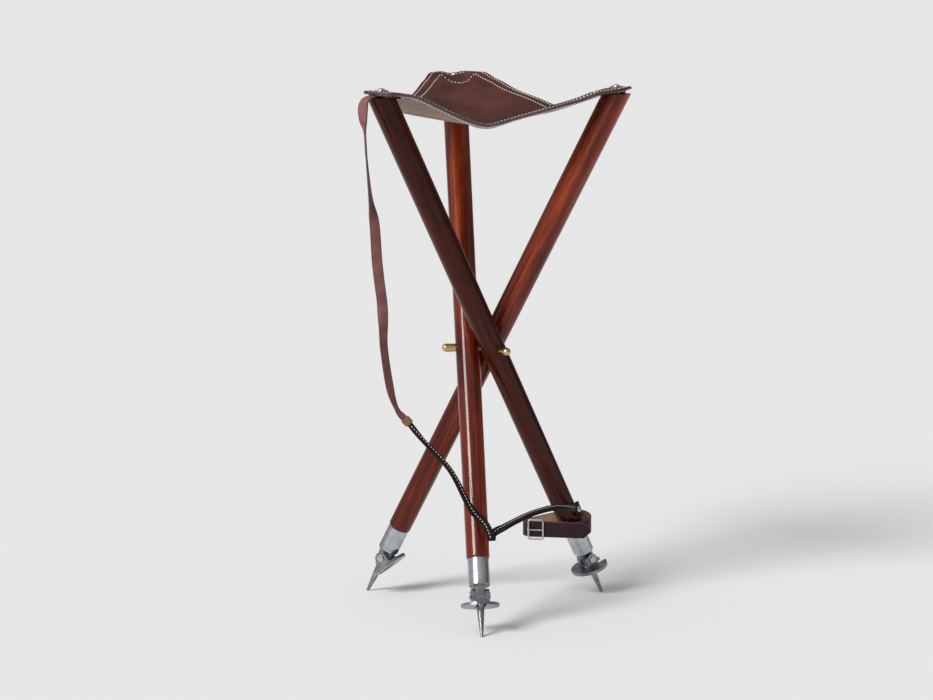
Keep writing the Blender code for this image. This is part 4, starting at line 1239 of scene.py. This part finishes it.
def cut_slot(screw, out, along):
    """Cut a driver's slot across a screw's head."""
    points = [vertex.co for vertex in screw.data.vertices]
    centre = sum(points, Vector()) / len(points)
    top = centre + out * max((point - centre).dot(out) for point in points)
    across = out.cross(along).normalized()
    matrix = Matrix((across.cross(out), across, out)).transposed().to_4x4()
    size = Matrix.Diagonal((SLOT_LENGTH, SLOT_WIDTH, 2 * SLOT_DEPTH, 1.0))
    bm = bmesh.new()
    bmesh.ops.create_cube(bm, size=1.0, matrix=Matrix.Translation(top) @ matrix @ size)
    cutter = placed("slot_cutter", mesh_of(bm, "slot_cutter"))
    cut = screw.modifiers.new("slot", "BOOLEAN")
    cut.operation = "DIFFERENCE"
    cut.solver = "EXACT"
    cut.object = cutter
    apply_modifiers(screw)
    bpy.data.objects.remove(cutter)


def make_legs():
    for name in LEGS:
        body = f"leg_{name}"
        matrix = LEG_MATRICES[name]
        leg = refined(f"leg_{name}", (WOODS[name],), body, "wood", matrix)
        trim_leg_top(leg, name)
        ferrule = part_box(f"foot_{name}")[1]
        foot_top = (matrix.inverted() @ leg_axis_at(name, ferrule.z)).z

        def pick(centre, low=foot_top - FERRULE_LENGTH):
            return 0 if centre.z > low else 1

        refined(f"foot_{name}", (BRIGHT, CAST), body, "aluminium", matrix, pick)
        refined(f"plate_{name}", (CAST,), f"plate_{name}", "aluminium", matrix)
        refined(f"plate_pin_{name}", (STEEL,), body, "steel", matrix)
        refined(f"cap_nut_{name}", (BRASS,), "hub", "brass", matrix)
        formed_patch(name)
        refined(f"seat_washer_{name}", (STEEL,), body, "steel")
        screw = refined(f"seat_screw_{name}", (STEEL,), body, "steel")
        cut_slot(screw, UP, SLOT_WAY)
        refined(f"ferrule_stud_{name}", (STEEL,), body, "steel")
    refined("three_way_bolt", (BRASS,), "hub", "brass")
    narrow_keeper(refined("sling_keeper", (TAN,), "leg_left", "strap"))
    screw = refined("sling_screw", (STEEL,), "leg_left", "steel")
    out = middle("sling_screw") - leg_axis_at("left", SLING_SCREW_HEIGHT)
    axis = LEG_AXES["left"]
    cut_slot(screw, (out - axis * out.dot(axis)).normalized(), axis)
    refined("buckle_frame", (STEEL,), "leg_left", "steel")
    refined("buckle_prong", (STEEL,), "prong", "steel")


# Stage, light and camera


def make_floor():
    bm = bmesh.new()
    bmesh.ops.create_grid(bm, x_segments=2, y_segments=2, size=FLOOR_SIZE / 2)
    mesh = mesh_of(bm, "floor")
    mesh.materials.append(Shader("studio_floor").finish(Base_Color=FLOOR_COLOUR, Roughness=0.9))
    placed("floor", mesh)


def make_world():
    """Soft fill, paler on the side of the lamp."""
    shader = Shader("studio", world=True)
    toward_lamp = shader.node("VectorMath", {"operation": "DOT_PRODUCT"})
    shader.join(shader.add("TexCoord", "Generated"), toward_lamp.inputs[0])
    shader.join(SUN_FROM.normalized() / 2, toward_lamp.inputs[1])
    ramp = shader.node("MapRange", {"data_type": "FLOAT_VECTOR"}, Vector=toward_lamp.outputs["Value"])
    limits = [socket for socket in ramp.inputs if socket.type == "VECTOR" and socket.name != "Vector"]
    for socket, value in zip(limits, ((-0.5,) * 3, (0.5,) * 3, WORLD_DARK, WORLD_PALE)):
        socket.default_value = value
    bpy.context.scene.world = shader.finish(Color=ramp.outputs["Vector"])


def make_lights():
    lamp = bpy.data.lights.new("key", "SUN")
    lamp.energy = SUN_STRENGTH
    lamp.angle = SUN_ANGLE
    placed("key", lamp).rotation_euler = (-SUN_FROM).to_track_quat("-Z", "Y").to_euler()


def make_camera():
    data = bpy.data.cameras.new("camera")
    data.sensor_fit = "HORIZONTAL"
    data.sensor_width = SENSOR_WIDTH
    data.lens = LENS
    data.clip_end = CLIP_END
    camera = placed("camera", data)
    camera.location = Vector((*HUB_PLAN, 0.0)) + CAMERA_AT
    camera.rotation_euler = (CAMERA_AIM - CAMERA_AT).to_track_quat("-Z", "Y").to_euler()
    bpy.context.scene.camera = camera


make_camera()
make_legs()
make_hide()
make_sling()
make_belt()
make_floor()
make_world()
make_lights()
bpy.context.scene.view_settings.view_transform = "Standard"
